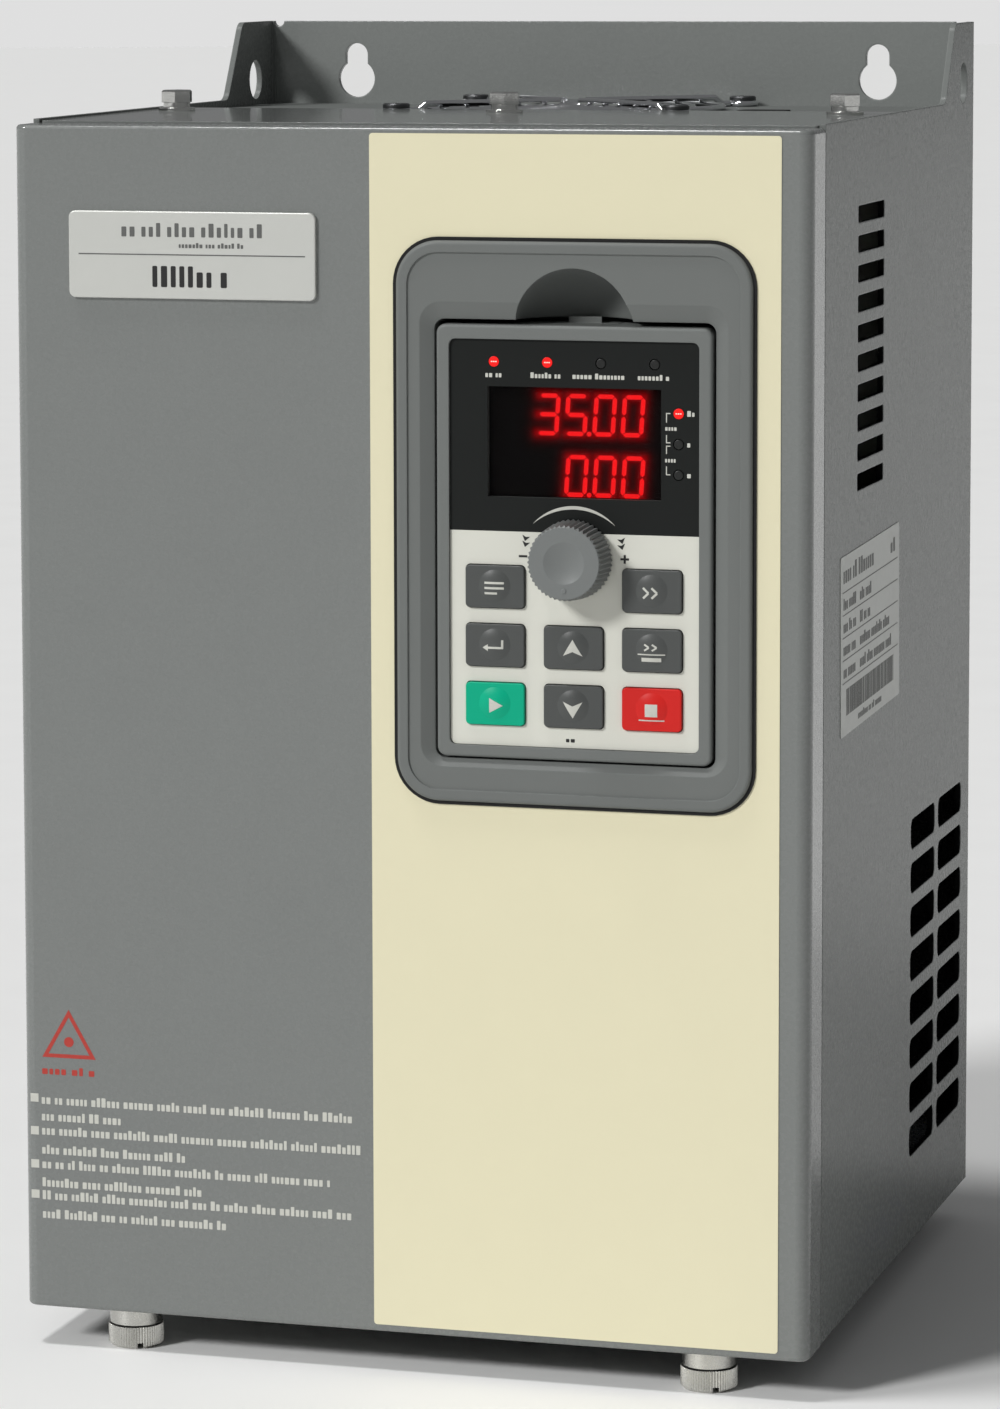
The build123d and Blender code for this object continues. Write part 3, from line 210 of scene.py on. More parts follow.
class Finish:
    """A Principled material whose colour, roughness and relief come from noise in object space."""

    def __init__(self, name, colour, roughness, spread=0.05, mottle=0.04, mottle_mm=14.0, grain_mm=0.7,
                 relief=0.01, stretch=(1, 1, 1), edge_wear_and_highlight=0.0, round_mm=0.0, **sockets):
        self.material = bpy.data.materials.new(name)
        self.material.use_nodes = True
        self.tree = self.material.node_tree
        self.shader = self.tree.nodes["Principled BSDF"]
        sockets.setdefault("Specular_IOR_Level", 0.28)
        for socket, value in sockets.items():
            self.shader.inputs[socket.replace("_", " ")].default_value = value
        self.places = self.node("ShaderNodeTexCoord").outputs["Object"]
        self.grain = self.noise(grain_mm, 3.0, stretch)
        broad = self.noise(mottle_mm, 4.0, (1, 1, 1))
        self.colour = self.mix(broad, tint(colour, 1 - mottle), tint(colour, 1 + mottle))
        self.tree.links.new(self.colour, self.shader.inputs["Base Color"])
        rough = self.range(self.grain, 0.25, 0.75, roughness - spread, roughness + spread)
        self.tree.links.new(rough, self.shader.inputs["Roughness"])
        self.bump = self.node("ShaderNodeBump")
        self.bump.inputs["Strength"].default_value = 1.0
        self.bump.inputs["Distance"].default_value = relief * MM
        self.tree.links.new(self.grain, self.bump.inputs["Height"])
        self.tree.links.new(self.bump.outputs["Normal"], self.shader.inputs["Normal"])
        if round_mm:
            soft = self.node("ShaderNodeBevel")
            soft.samples = 4
            soft.inputs["Radius"].default_value = round_mm * MM
            self.tree.links.new(soft.outputs["Normal"], self.bump.inputs["Normal"])
            if edge_wear_and_highlight:
                self.rub_and_highlight_edges(soft, colour, edge_wear_and_highlight)

    def node(self, kind):
        return self.tree.nodes.new(kind)

    def noise(self, size_mm, detail, stretch):
        spread = self.node("ShaderNodeMapping")
        spread.inputs["Scale"].default_value = stretch
        self.tree.links.new(self.places, spread.inputs["Vector"])
        noise = self.node("ShaderNodeTexNoise")
        noise.inputs["Scale"].default_value = 1 / (size_mm * MM)
        noise.inputs["Detail"].default_value = detail
        self.tree.links.new(spread.outputs["Vector"], noise.inputs["Vector"])
        return noise.outputs["Fac"]

    def range(self, value, low, high, to_low, to_high):
        spread = self.node("ShaderNodeMapRange")
        self.tree.links.new(value, spread.inputs["Value"])
        for socket, number in (("From Min", low), ("From Max", high), ("To Min", to_low),
                               ("To Max", to_high)):
            spread.inputs[socket].default_value = number
        return spread.outputs["Result"]

    def mix(self, factor, first, second):
        blend = self.node("ShaderNodeMix")
        blend.data_type = "RGBA"
        for socket, value in ((0, factor), (6, first), (7, second)):
            if isinstance(value, bpy.types.NodeSocket):
                self.tree.links.new(value, blend.inputs[socket])
            else:
                blend.inputs[socket].default_value = value
        return blend.outputs[2]

    def math(self, operation, first, second):
        node = self.node("ShaderNodeMath")
        node.operation = operation
        for i, value in enumerate((first, second)):
            if isinstance(value, bpy.types.NodeSocket):
                self.tree.links.new(value, node.inputs[i])
            else:
                node.inputs[i].default_value = value
        return node.outputs[0]

    def rub_and_highlight_edges(self, soft, colour, amount):
        """Edges rub a little lighter, in patches; the same lightening also stands in as a painted highlight
        along the edges.
        """
        true = self.node("ShaderNodeNewGeometry")
        dot = self.node("ShaderNodeVectorMath")
        dot.operation = "DOT_PRODUCT"
        self.tree.links.new(soft.outputs["Normal"], dot.inputs[0])
        self.tree.links.new(true.outputs["Normal"], dot.inputs[1])
        near_edge = self.range(dot.outputs["Value"], 0.99, 0.80, 0.0, 1.0)
        patches = self.range(self.noise(3.0, 3.0, (1, 1, 1)), 0.35, 0.65, 0.3, 1.0)
        mask = self.math("MULTIPLY", self.math("MULTIPLY", near_edge, patches), amount)
        self.colour = self.mix(mask, self.colour, tint(colour, 1.7))
        self.tree.links.new(self.colour, self.shader.inputs["Base Color"])

    def paint(self, colour_socket):
        self.colour = colour_socket
        self.tree.links.new(colour_socket, self.shader.inputs["Base Color"])

    def paint_shade_inside(self, limits, colour):
        """Painted shade: another colour inside a box, (0, half width, None) and (axis, low, high) for the
        other axes.
        """
        parts = self.node("ShaderNodeSeparateXYZ")
        self.tree.links.new(self.places, parts.inputs[0])
        mask = None
        for axis, low, high in limits:
            place = parts.outputs[axis]
            if high is None:
                inside = self.math("LESS_THAN", self.math("ABSOLUTE", place, 0.0), low)
            else:
                inside = self.math("MULTIPLY", self.math("GREATER_THAN", place, low),
                                   self.math("LESS_THAN", place, high))
            mask = self.math("MULTIPLY", mask, inside) if mask else inside
        self.paint(self.mix(mask, self.colour, colour))


GREY = rgb(119, 122, 120)
CREAM = rgb(225, 219, 188)


def powder_coat(name, specular, shade=1.0, gloss=0.0):
    return Finish(name, tint(GREY, shade), 0.27, spread=0.07, mottle=0.03, grain_mm=1.2, relief=0.03,
                  edge_wear_and_highlight=0.8, round_mm=0.5, Specular_IOR_Level=specular, Coat_Weight=gloss, Coat_Roughness=0.1)


paint = powder_coat("grey_powder_coat", 0.25, 0.96, 0.7)
case_paint = powder_coat("case_powder_coat", 0.08, 0.94)
# Painted light: the back panel's copy of the one grey powder coat is 1.2 times lighter, standing in for light
# falling on it from above.
back_paint_painted_light = powder_coat("back_powder_coat_painted_light", 0.35, 1.2)
# Painted shade: the faces inside the case below the deck are painted near black where shade falls. It stays
# clear of the outer faces, and the side panels keep their rear bends in paint.
SKIN, BEND, RETURN = 0.15 * MM, 2.5 * MM, 3 * MM
case_half = -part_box("left_panel")[0][0]
for shaded_coat, rear in ((case_paint, BEND), (back_paint_painted_light, SKIN)):
    shaded_coat.paint_shade_inside((
        (0, case_half - SKIN, None),
        (1, cover_high[1] + RETURN, cad_high[1] - rear), (2, plate_low_corner[2], deck_high[2] - MM),
    ), rgb(16, 16, 16))
deck_paint = Finish("matt_grey_coat", rgb(104, 107, 105), 0.55, grain_mm=0.9, relief=0.02, mottle=0.03,
                    edge_wear_and_highlight=0.3, round_mm=0.4)
gloss_paint = Finish("glossy_grey_coat", GREY, 0.16, spread=0.03, mottle=0.015, grain_mm=2.4, relief=0.004,
                     edge_wear_and_highlight=0.2, round_mm=0.4, Coat_Weight=0.5, Coat_Roughness=0.06,
                     Specular_IOR_Level=0.3)
cream = Finish("cream_coat", CREAM, 0.34, spread=0.05, mottle=0.012, grain_mm=1.3, relief=0.02)
zinc = Finish("zinc_plate", rgb(196, 196, 190), 0.38, spread=0.1, mottle=0.09, mottle_mm=6.0, grain_mm=1.6,
              relief=0.004, edge_wear_and_highlight=0.2, round_mm=0.3, Metallic=1.0)
nickel = Finish("nickel_plate", rgb(214, 214, 211), 0.14, spread=0.06, mottle=0.06, mottle_mm=2.0,
                grain_mm=0.4, relief=0.003, edge_wear_and_highlight=1.0, round_mm=0.25, Metallic=1.0)
screw_nickel = Finish("matt_nickel", rgb(196, 195, 190), 0.3, spread=0.1, mottle=0.1, mottle_mm=2.0,
                      grain_mm=0.3, relief=0.01, round_mm=0.12, Metallic=1.0)
chrome = Finish("chrome_wire", rgb(212, 213, 215), 0.12, spread=0.05, mottle=0.03, mottle_mm=3.0,
                grain_mm=0.5, relief=0.003, Metallic=1.0)
steel = Finish("turned_steel", rgb(190, 190, 188), 0.25, spread=0.08, grain_mm=0.15, relief=0.004,
               stretch=(1, 12, 1), Metallic=1.0)
black = Finish("black_moulding", rgb(34, 34, 35), 0.5, spread=0.08, mottle=0.1, grain_mm=0.35, relief=0.008)
dark_steel = Finish("blackened_steel", rgb(88, 89, 90), 0.42, mottle=0.1, mottle_mm=1.5, grain_mm=0.3,
                    relief=0.004, round_mm=0.2, Metallic=1.0)
rubber_and_shadow = Finish("black_rubber", rgb(28, 28, 28), 0.75, spread=0.08, mottle=0.15, grain_mm=0.6, relief=0.015)
sink = Finish("extruded_aluminium", rgb(206, 208, 210), 0.34, spread=0.1, mottle=0.04, grain_mm=0.5,
              relief=0.01, stretch=(1, 1, 0.02), Metallic=1.0)
core = Finish("laminations", rgb(62, 58, 56), 0.5, spread=0.1, mottle=0.15, grain_mm=0.5, relief=0.05,
              stretch=(0.01, 1, 0.01), Metallic=0.6)
coil = Finish("coil_tape", rgb(196, 160, 84), 0.5, spread=0.1, mottle=0.12, grain_mm=2.2, relief=0.12,
              stretch=(0.02, 0.02, 1))
tray_plastic = Finish("tray_moulding", rgb(108, 111, 109), 0.5, spread=0.06, mottle=0.02, grain_mm=0.35,
                      relief=0.012, edge_wear_and_highlight=0.5, round_mm=0.35)
case_plastic = Finish("keypad_moulding", rgb(111, 114, 112), 0.42, spread=0.06, mottle=0.02, grain_mm=0.35,
                      relief=0.008, edge_wear_and_highlight=0.5, round_mm=0.3)
knob_plastic = Finish("knob_moulding", rgb(116, 119, 118), 0.42, spread=0.07, mottle=0.03, grain_mm=0.4,
                      relief=0.01, edge_wear_and_highlight=0.5, round_mm=0.2)
key_plastic = Finish("key_moulding", rgb(78, 80, 79), 0.33, spread=0.06, mottle=0.03, grain_mm=0.4,
                     relief=0.004, round_mm=0.2)
green_plastic = Finish("green_key", rgb(2, 168, 130), 0.36, spread=0.06, mottle=0.03, grain_mm=0.4,
                       relief=0.004, round_mm=0.2, Specular_IOR_Level=0.18)
red_plastic = Finish("red_key", rgb(206, 38, 34), 0.36, spread=0.06, mottle=0.03, grain_mm=0.4,
                     relief=0.004, round_mm=0.2, Specular_IOR_Level=0.18)
white_film = Finish("white_film", rgb(214, 214, 204), 0.38, spread=0.05, mottle=0.012, grain_mm=0.5,
                    relief=0.004)
black_film = Finish("black_film", rgb(27, 29, 28), 0.36, spread=0.06, mottle=0.05, grain_mm=0.5, relief=0.005,
                    Specular_IOR_Level=0.16)
window = Finish("smoked_window", rgb(8, 6, 6), 0.14, spread=0.03, mottle=0.05, grain_mm=4.0, relief=0.001,
                Alpha=0.2, Specular_IOR_Level=0.08)
display_black = Finish("display_moulding", rgb(12, 9, 9), 0.45, spread=0.05, mottle=0.1, grain_mm=0.5,
                       relief=0.004, Specular_IOR_Level=0.1)
plate_silver = Finish("satin_silver", rgb(203, 204, 199), 0.34, spread=0.06, mottle=0.02, grain_mm=0.25,
                      relief=0.002, stretch=(0.03, 1, 1), round_mm=0.2, Metallic=0.35)
label_silver = Finish("label_silver", rgb(178, 180, 176), 0.38, spread=0.04, mottle=0.02, mottle_mm=9.0,
                      grain_mm=1.5, relief=0.001, Metallic=0.3)
led_dark = Finish("unlit_lens", rgb(34, 35, 34), 0.35, spread=0.05, grain_mm=0.3, relief=0.003)
led_lit = Finish("lit_lens", rgb(170, 16, 14), 0.3, spread=0.05, mottle=0.1, mottle_mm=0.5, grain_mm=0.3,
                 relief=0.003, Emission_Color=rgb(255, 24, 20), Emission_Strength=0.62)
led_glint = Finish("lens_glint", rgb(240, 200, 190), 0.3, mottle=0.1, mottle_mm=0.5, grain_mm=0.2,
                   relief=0.002, Emission_Color=rgb(255, 190, 180), Emission_Strength=0.35)
ink_white = Finish("white_print", rgb(222, 223, 218), 0.5, mottle=0.05, mottle_mm=1.5, grain_mm=0.25,
                   relief=0.003)
ink_light = Finish("light_print", rgb(198, 198, 190), 0.5, mottle=0.08, mottle_mm=1.2, grain_mm=0.25,
                   relief=0.003)
ink_black = Finish("black_print", rgb(40, 40, 40), 0.5, mottle=0.1, mottle_mm=1.5, grain_mm=0.25,
                   relief=0.003)
ink_red = Finish("red_print", rgb(176, 62, 54), 0.5, mottle=0.08, mottle_mm=1.2, grain_mm=0.25, relief=0.003)
ink_grey = Finish("grey_print", rgb(96, 97, 95), 0.5, mottle=0.1, mottle_mm=1.2, grain_mm=0.25, relief=0.003)
tin = Finish("tinned_pads", rgb(200, 202, 204), 0.32, mottle=0.08, mottle_mm=1.5, grain_mm=0.3, relief=0.006,
             Metallic=1.0)
beige = Finish("beige_moulding", rgb(222, 214, 190), 0.45, mottle=0.04, grain_mm=0.4, relief=0.006)
relay_blue = Finish("relay_blue", rgb(38, 78, 150), 0.4, mottle=0.05, grain_mm=0.4, relief=0.005)
brown = Finish("ceramic_brown", rgb(150, 96, 48), 0.35, mottle=0.1, mottle_mm=1.0, grain_mm=0.3, relief=0.004)
sleeve = Finish("capacitor_sleeve", rgb(24, 26, 44), 0.3, spread=0.06, mottle=0.08, grain_mm=0.8, relief=0.01,
                Coat_Weight=0.3, Coat_Roughness=0.15)
green_block = Finish("terminal_green", rgb(28, 122, 66), 0.42, mottle=0.05, grain_mm=0.4, relief=0.008,
                     round_mm=0.2)


def board_finish(name, colour):
    """Solder mask with faint tracks and pads."""
    made = Finish(name, colour, 0.3, spread=0.05, mottle=0.05, grain_mm=0.6, relief=0.006,
                  Coat_Weight=0.4, Coat_Roughness=0.12)
    tracks = []
    for stretch, size in (((1, 1, 0.12), 1.6), ((0.12, 1, 1), 2.1)):
        lines = made.noise(size, 0.0, stretch)
        tracks.append(made.range(lines, 0.56, 0.585, 0.0, 1.0))
    zones = made.range(made.noise(22.0, 0.0, (1, 1, 1)), 0.48, 0.5, 0.0, 1.0)
    chosen = made.mix(zones, tracks[0], tracks[1])
    made.paint(made.mix(made.math("MULTIPLY", chosen, 0.55), made.colour, tint(colour, 2.1)))
    return made


board = board_finish("green_board", rgb(14, 92, 52))

looks = {
    back_paint_painted_light: ["back_panel"],
    case_paint: ["left_panel", "right_panel"],
    paint: ["front_cover", "bottom_plate"],
    deck_paint: ["top_deck"],
    gloss_paint: ["top_cover"],
    cream: ["cream_film"],
    zinc: ["partition", "control_bracket", "board_posts"],
    nickel: ["top_bolts", "bolt_washers", "terminal_screws", "clamp_nuts"],
    screw_nickel: ["thumb_sleeves", "thumb_screw_left", "thumb_screw_right"],
    chrome: ["fan_guard"],
    dark_steel: ["fan_screws"],
    black: ["fan_frame", "fan_rotor", "power_terminals", "power_module", "rectifier_module",
            "encoder_body", "key_switches", "current_sensors", "supply_transformer"],
    relay_blue: ["precharge_relay"],
    rubber_and_shadow: ["grommets"],
    sink: ["heatsink"],
    board: ["power_board", "control_board", "keypad_board"],
    sleeve: ["bus_capacitors"],
    green_block: ["control_terminals"],
    core: ["choke_core"],
    coil: ["choke_coil"],
    plate_silver: ["name_plate"],
    label_silver: ["rating_label"],
    tray_plastic: ["keypad_tray"],
    case_plastic: ["keypad_front_case", "keypad_rear_case", "keypad_latch"],
    knob_plastic: ["knob"],
    key_plastic: ["program_key", "quick_key", "enter_key", "up_key", "shift_key", "down_key"],
    green_plastic: ["run_key"],
    red_plastic: ["stop_key"],
    white_film: ["key_overlay"],
    black_film: ["display_overlay"],
    window: ["display_window"],
    display_black: ["display_module"],
    led_dark: ["indicator_leds"],
    steel: ["encoder_shaft"],
}
for look, names in looks.items():
    for name in names:
        nodes[name].data.materials.clear()
        nodes[name].data.materials.append(look.material)

# ---------------------------------------------------------------- camera
FOCAL_MM, SENSOR_MM = 138.05, 36.0
SHIFT_X, SHIFT_Y = 0.08, -0.15
YAW, PITCH, ROLL = 0.2978, 0.1043, -0.0041
STANDPOINT = (0.3571, -1.3673, 0.1758)
forward = Vector((-sin(YAW) * cos(PITCH), cos(YAW) * cos(PITCH), -sin(PITCH)))
sideways = Vector((cos(YAW), sin(YAW), 0.0))
upwards = sideways.cross(forward)
turned_side = sideways * cos(ROLL) + upwards * sin(ROLL)
turned_up = upwards * cos(ROLL) - sideways * sin(ROLL)
camera = bpy.data.objects.new("camera", bpy.data.cameras.new("camera"))
bpy.context.scene.collection.objects.link(camera)
camera.data.lens = FOCAL_MM
camera.data.sensor_width = SENSOR_MM
camera.data.shift_x = SHIFT_X
camera.data.shift_y = SHIFT_Y
camera.data.clip_start = 0.05
camera.data.clip_end = 100.0
axes = Matrix((turned_side, turned_up, -forward)).transposed()
camera.matrix_world = Matrix.Translation(STANDPOINT) @ axes.to_4x4()
bpy.context.scene.camera = camera

# ---------------------------------------------------------------- stage and lights
FLOOR_RADIUS, FLOOR_DROP = 14000, 0.02
bm = bmesh.new()
floor_outline = disc(0, 0, FLOOR_RADIUS, 96)
floor_height = foot_low[2] - FLOOR_DROP * MM
bm.faces.new([bm.verts.new(Vector((u * MM, v * MM, floor_height))) for u, v in floor_outline])
floor_mesh = bpy.data.meshes.new("floor")
bm.to_mesh(floor_mesh)
bm.free()
floor = bpy.data.objects.new("floor", floor_mesh)
bpy.context.scene.collection.objects.link(floor)
floor_look = Finish("pale_floor", rgb(244, 244, 243), 0.6, mottle=0.005, mottle_mm=400, grain_mm=30,
                    relief=0.0)
floor_mesh.materials.append(floor_look.material)

# The room lights the object evenly and weakly; seen directly it is as pale as the floor.
world = bpy.data.worlds.new("studio")
bpy.context.scene.world = world
world.use_nodes = True
room = world.node_tree
ROOM_LIGHT, ROOM_SEEN = 0.17, 0.74
dim = room.nodes["Background"]
dim.inputs["Color"].default_value = (0.98, 0.99, 1.0, 1)
dim.inputs["Strength"].default_value = ROOM_LIGHT
pale = room.nodes.new("ShaderNodeBackground")
pale.inputs["Color"].default_value = (1.0, 1.0, 1.0, 1)
pale.inputs["Strength"].default_value = ROOM_SEEN
seen = room.nodes.new("ShaderNodeLightPath")
choice = room.nodes.new("ShaderNodeMixShader")
room.links.new(seen.outputs["Is Camera Ray"], choice.inputs["Fac"])
room.links.new(dim.outputs["Background"], choice.inputs[1])
room.links.new(pale.outputs["Background"], choice.inputs[2])
room.links.new(choice.outputs["Shader"], room.nodes["World Output"].inputs["Surface"])
bpy.context.scene.view_settings.view_transform = "Standard"


def lamp(name, towards, strength, spread_degrees):
    """Distant soft light that comes from a direction."""
    data = bpy.data.lights.new(name, "SUN")
    data.energy = strength
    data.angle = radians(spread_degrees)
    light = bpy.data.objects.new(name, data)
    bpy.context.scene.collection.objects.link(light)
    light.rotation_euler = Vector(towards).to_track_quat("Z", "Y").to_euler()


lamp("key_light", (-0.75, -1.0, 0.75), 2.15, 12)
lamp("top_light", (-0.26, -0.13, 0.96), 1.2, 9)

# ---------------------------------------------------------------- prints on the cover
INK = 0.04
face_depth = 0.0
film_depth = in_mm("cream_film")[0][1]

MARK_X, MARK_HEIGHT, MARK_REACH, MARK_STROKE = -83.4, 64.2, 7.75, 0.9
outer_corners, inner_corners = [], []
for corner in range(3):
    angle = pi / 2 + corner * 2 * pi / 3
    for points, reach in ((outer_corners, MARK_REACH), (inner_corners, MARK_REACH - 2 * MARK_STROKE)):
        points.append((MARK_X + reach * cos(angle), MARK_HEIGHT + reach * sin(angle)))
bm = bmesh.new()
band(bm, outer_corners, inner_corners, face_depth - INK, face_depth + INK, front)
MARK_DOT = 1.2
prism(bm, disc(MARK_X, MARK_HEIGHT, MARK_DOT), face_depth - INK, face_depth + INK, front)
add("caution_mark", bm, "front_cover", ink_red.material)
flats("caution_bars", words(-90.2, -76.4, 56.2, 1.9, 1.15), face_depth - INK, face_depth + INK, front,
      "front_cover", ink_red.material)
BULLET_X, BULLET, NOTE_X = -92.2, 2.0, -90.4
bullets = [rect(BULLET_X, height, BULLET, BULLET) for height in (50.4, 42.5, 34.5, 27.2)]
lines = []
for height, right in ((49.0, -13.4), (45.0, -68.9), (41.6, -10.0), (37.0, -53.9), (33.5, -17.8),
                      (29.1, -50.0), (26.0, -13.7), (21.5, -44.5)):
    lines += words(NOTE_X, right, height, 2.2, 0.85)
flats("note_lines", bullets + lines, face_depth - INK, face_depth + INK, front, "front_cover",
      ink_light.material)

# ---------------------------------------------------------------- name plate
plate_low, plate_high = in_mm("name_plate")
plate_x = (plate_low[0] + plate_high[0]) / 2
plate_h = (plate_low[2] + plate_high[2]) / 2
plate_face = plate_low[1]
flats("plate_print", [rect(plate_x, plate_h + 0.1, 55.2, 0.28)]
      + words(plate_x - 17, plate_x + 17, plate_h + 4.2, 3.2, 1.0, 0.8)
      + words(plate_x - 3, plate_x + 13, plate_h + 1.7, 1.2, 0.6),
      plate_face - INK, plate_face + INK, front, "front_cover", ink_grey.material)
flats("plate_title", words(plate_x - 9.5, plate_x + 9.5, plate_h - 7.4, 4.9, 1.5, 0.6),
      plate_face - INK, plate_face + INK, front, "front_cover", ink_black.material)

# ---------------------------------------------------------------- rating label
label_low, label_high = in_mm("rating_label")
label_d = (label_low[1] + label_high[1]) / 2
label_h = (label_low[2] + label_high[2]) / 2
label_x = label_high[0]
LABEL_TILT = 1.4
ROW_PITCH = 5.3
rows = words(label_d - 30, label_d + 4, label_h + 14.6, 4.0, 1.6, 0.5)
rows += words(label_d + 23, label_d + 29, label_h + 14.6, 3.4, 2.0, 0.5)
for i, right in enumerate((2, 0, 22, 24)):
    row_height = label_h + 12.6 - ROW_PITCH * i
    rows.append(rect(label_d, row_height, 62.0, 0.25))
    rows += words(label_d - 30, label_d - 16, row_height - 4.2, 2.8, 1.2)
    rows += words(label_d - 12, label_d + right, row_height - 4.2, 2.8, 1.2)
rows.append(rect(label_d, label_h + 12.6 - ROW_PITCH * 4, 62.0, 0.25))
x = label_d - 27
while x < label_d + 26:
    width = dice.choice((0.35, 0.35, 0.7, 1.0))
    rows.append(rect(x + width / 2, label_h - 13.4, width, 6.2))
    x += width + dice.choice((0.35, 0.35, 0.7))
rows += words(label_d - 14, label_d + 12, label_h - 19.4, 1.8, 1.0)
flats("label_print", [turned(row, LABEL_TILT, label_d, label_h) for row in rows], label_x - INK,
      label_x + INK, flank, "case", ink_grey.material)

# ---------------------------------------------------------------- keypad prints
print_depth = in_mm("display_overlay")[0][1]
window_low, window_high = in_mm("display_window")
pad_x = (window_low[0] + window_high[0]) / 2
led_rows = [(pad_x + (i - 1.5) * 12.55, 227.35) for i in range(4)]
unit_leds = [(pad_x + 24.4, 209.4 + i * 6.95) for i in (1, 0, -1)]

captions = []
for (x, height), half in zip(led_rows, (2.0, 3.9, 6.6, 3.9)):
    captions += words(x - half, x + half, height - 3.6, 1.3, 0.62)
for (x, height), half in zip(unit_leds, (0.95, 0.5, 0.5)):
    captions += words(x + 2.0, x + 2.0 + 2 * half, height - 0.6, 1.3, 0.7)
BRACKET_X = pad_x + 21.6
LINE, TICK = 0.22, 0.8
for top, upper_end, text, lower_start, low_end in ((216.5, 214.3, 213.0, 211.5, 209.65),
                                                  (209.1, 207.2, 205.8, 204.4, 202.4)):
    captions += words(BRACKET_X - 0.3, BRACKET_X + 2.9, text - 0.5, 1.1, 0.55)
    captions += [rect(BRACKET_X, (top + upper_end) / 2, LINE, top - upper_end),
                 rect(BRACKET_X, (lower_start + low_end) / 2, LINE, lower_start - low_end)]
    captions += [rect(BRACKET_X + (LINE + TICK) / 2, y - side * LINE / 2, TICK, LINE)
                 for y, side in ((top, 1), (low_end, -1))]
flats("keypad_captions", captions, print_depth - INK, print_depth + INK, front, "keypad",
      ink_light.material)

ARC_HALF, ARC_TOP, ARC_END = 9.6, 194.8, 190.6
arc_radius = (ARC_HALF ** 2 + (ARC_TOP - ARC_END) ** 2) / (2 * (ARC_TOP - ARC_END))
spread = asin(ARC_HALF / arc_radius)
outer, inner = [], []
for i in range(33):
    angle = (i / 16 - 1) * spread
    thick = 0.72 * (1 - (i / 16 - 1) ** 2) + 0.05
    for points, radius in ((outer, arc_radius), (inner, arc_radius - thick)):
        points.append((pad_x + radius * sin(angle), ARC_TOP - arc_radius + radius * cos(angle)))
flats("dial_arc", [outer + inner[::-1]], print_depth - INK, print_depth + INK, front, "keypad",
      ink_light.material)


def chevron(x, y, half, tall, thick, sign):
    """A solid arrow barb pointing down (sign 1) or up (sign -1)."""
    return [(x, y - sign * tall / 2), (x + half, y + sign * tall / 2), (x, y + sign * (tall / 2 - thick)),
            (x - half, y + sign * tall / 2)]


marks = []
for x, lean in ((28.6, -14), (51.2, 14)):
    for height in (187.1, 185.75):
        marks.append(turned(chevron(x, height, 0.95, 1.3, 0.3, 1), lean, x, height))
plus_x, sign_height, sign_half, sign_line = 51.9, 183.0, 1.0, 0.5
marks += [rect(28.0, sign_height, 2 * sign_half, sign_line),
          rect(plus_x, sign_height, 2 * sign_half, sign_line)]
for side in (-1, 1):
    arm = sign_half - sign_line / 2
    marks.append(rect(plus_x, sign_height + side * (sign_line + arm) / 2, sign_line, arm))
marks += words(pad_x - 1.9, pad_x + 1.9, 140.6, 1.1, 0.8)
flats("dial_marks", marks, print_depth - INK, print_depth + INK, front, "keypad",
      ink_black.material)

# ---------------------------------------------------------------- display
SEGMENTS = {"0": "abcdef", "3": "abcdg", "5": "acdfg"}
DIGIT_TALL, DIGIT_WIDE, BAR, SLANT = 9.6, 5.3, 1.0, 0.07
display_face = in_mm("display_module")[0][1]


def segment_lines(digit, x, height):
    """End points of a digit's lit segments, x being its left edge and height its middle."""
    w, t = DIGIT_WIDE - BAR, DIGIT_TALL - BAR
    corners = {"tl": (0, t / 2), "tr": (w, t / 2), "ml": (0, 0), "mr": (w, 0), "bl": (0, -t / 2),
               "br": (w, -t / 2)}
    ends = {"a": "tl tr", "b": "tr mr", "c": "mr br", "d": "bl br", "e": "ml bl", "f": "tl ml", "g": "ml mr"}
    found = []
    for letter in SEGMENTS[digit]:
        points = []
        for corner in ends[letter].split():
            u, v = corners[corner]
            points.append((x + BAR / 2 + u + SLANT * v, height + v))
        found.append(points)
    return found


digit_lines = []
dots = []
ROW_RIGHT = 56.0
DIGIT_PITCH = 6.62
for text, height in (("35.00", 215.4), ("0.00", 201.5)):
    x = ROW_RIGHT - DIGIT_WIDE
    for letter in reversed(text.replace(".", "")):
        digit_lines += segment_lines(letter, x, height)
        x -= DIGIT_PITCH
    dots.append((ROW_RIGHT - 2 * DIGIT_PITCH + (DIGIT_PITCH - DIGIT_WIDE) / 2 - 0.35,
                 height - DIGIT_TALL / 2 + 0.5))


def lit_bar(start, end, width, gap):
    """Six-cornered segment between two points."""
    length = hypot(end[0] - start[0], end[1] - start[1])
    ux, uy = (end[0] - start[0]) / length, (end[1] - start[1]) / length
    outline = []
    for along, across in ((gap, 0), (gap + width / 2, -0.5), (length - gap - width / 2, -0.5),
                          (length - gap, 0), (length - gap - width / 2, 0.5), (gap + width / 2, 0.5)):
        outline.append((start[0] + ux * along - uy * across * width,
                        start[1] + uy * along + ux * across * width))
    return outline


glow_red = Finish("lit_segments", rgb(190, 6, 10), 0.5, mottle=0.06, mottle_mm=0.8, grain_mm=0.3,
                  relief=0.001, Emission_Color=rgb(255, 14, 20), Emission_Strength=1.1)
segments = [lit_bar(start, end, BAR, 0.12) for start, end in digit_lines]
segments += [disc(x, y, 0.55, 16) for x, y in dots]
flats("display_digits", segments, display_face - 0.12, display_face - 0.05, front, "keypad",
      glow_red.material)


def nearest(x, y):
    """Distance from a point to the nearest lit segment."""
    best = min(hypot(x - u, y - v) for u, v in dots)
    for (x0, y0), (x1, y1) in digit_lines:
        dx, dy = x1 - x0, y1 - y0
        along = max(0.0, min(1.0, ((x - x0) * dx + (y - y0) * dy) / (dx * dx + dy * dy)))
        best = min(best, hypot(x - x0 - along * dx, y - y0 - along * dy))
    return max(0.0, best - BAR / 2)


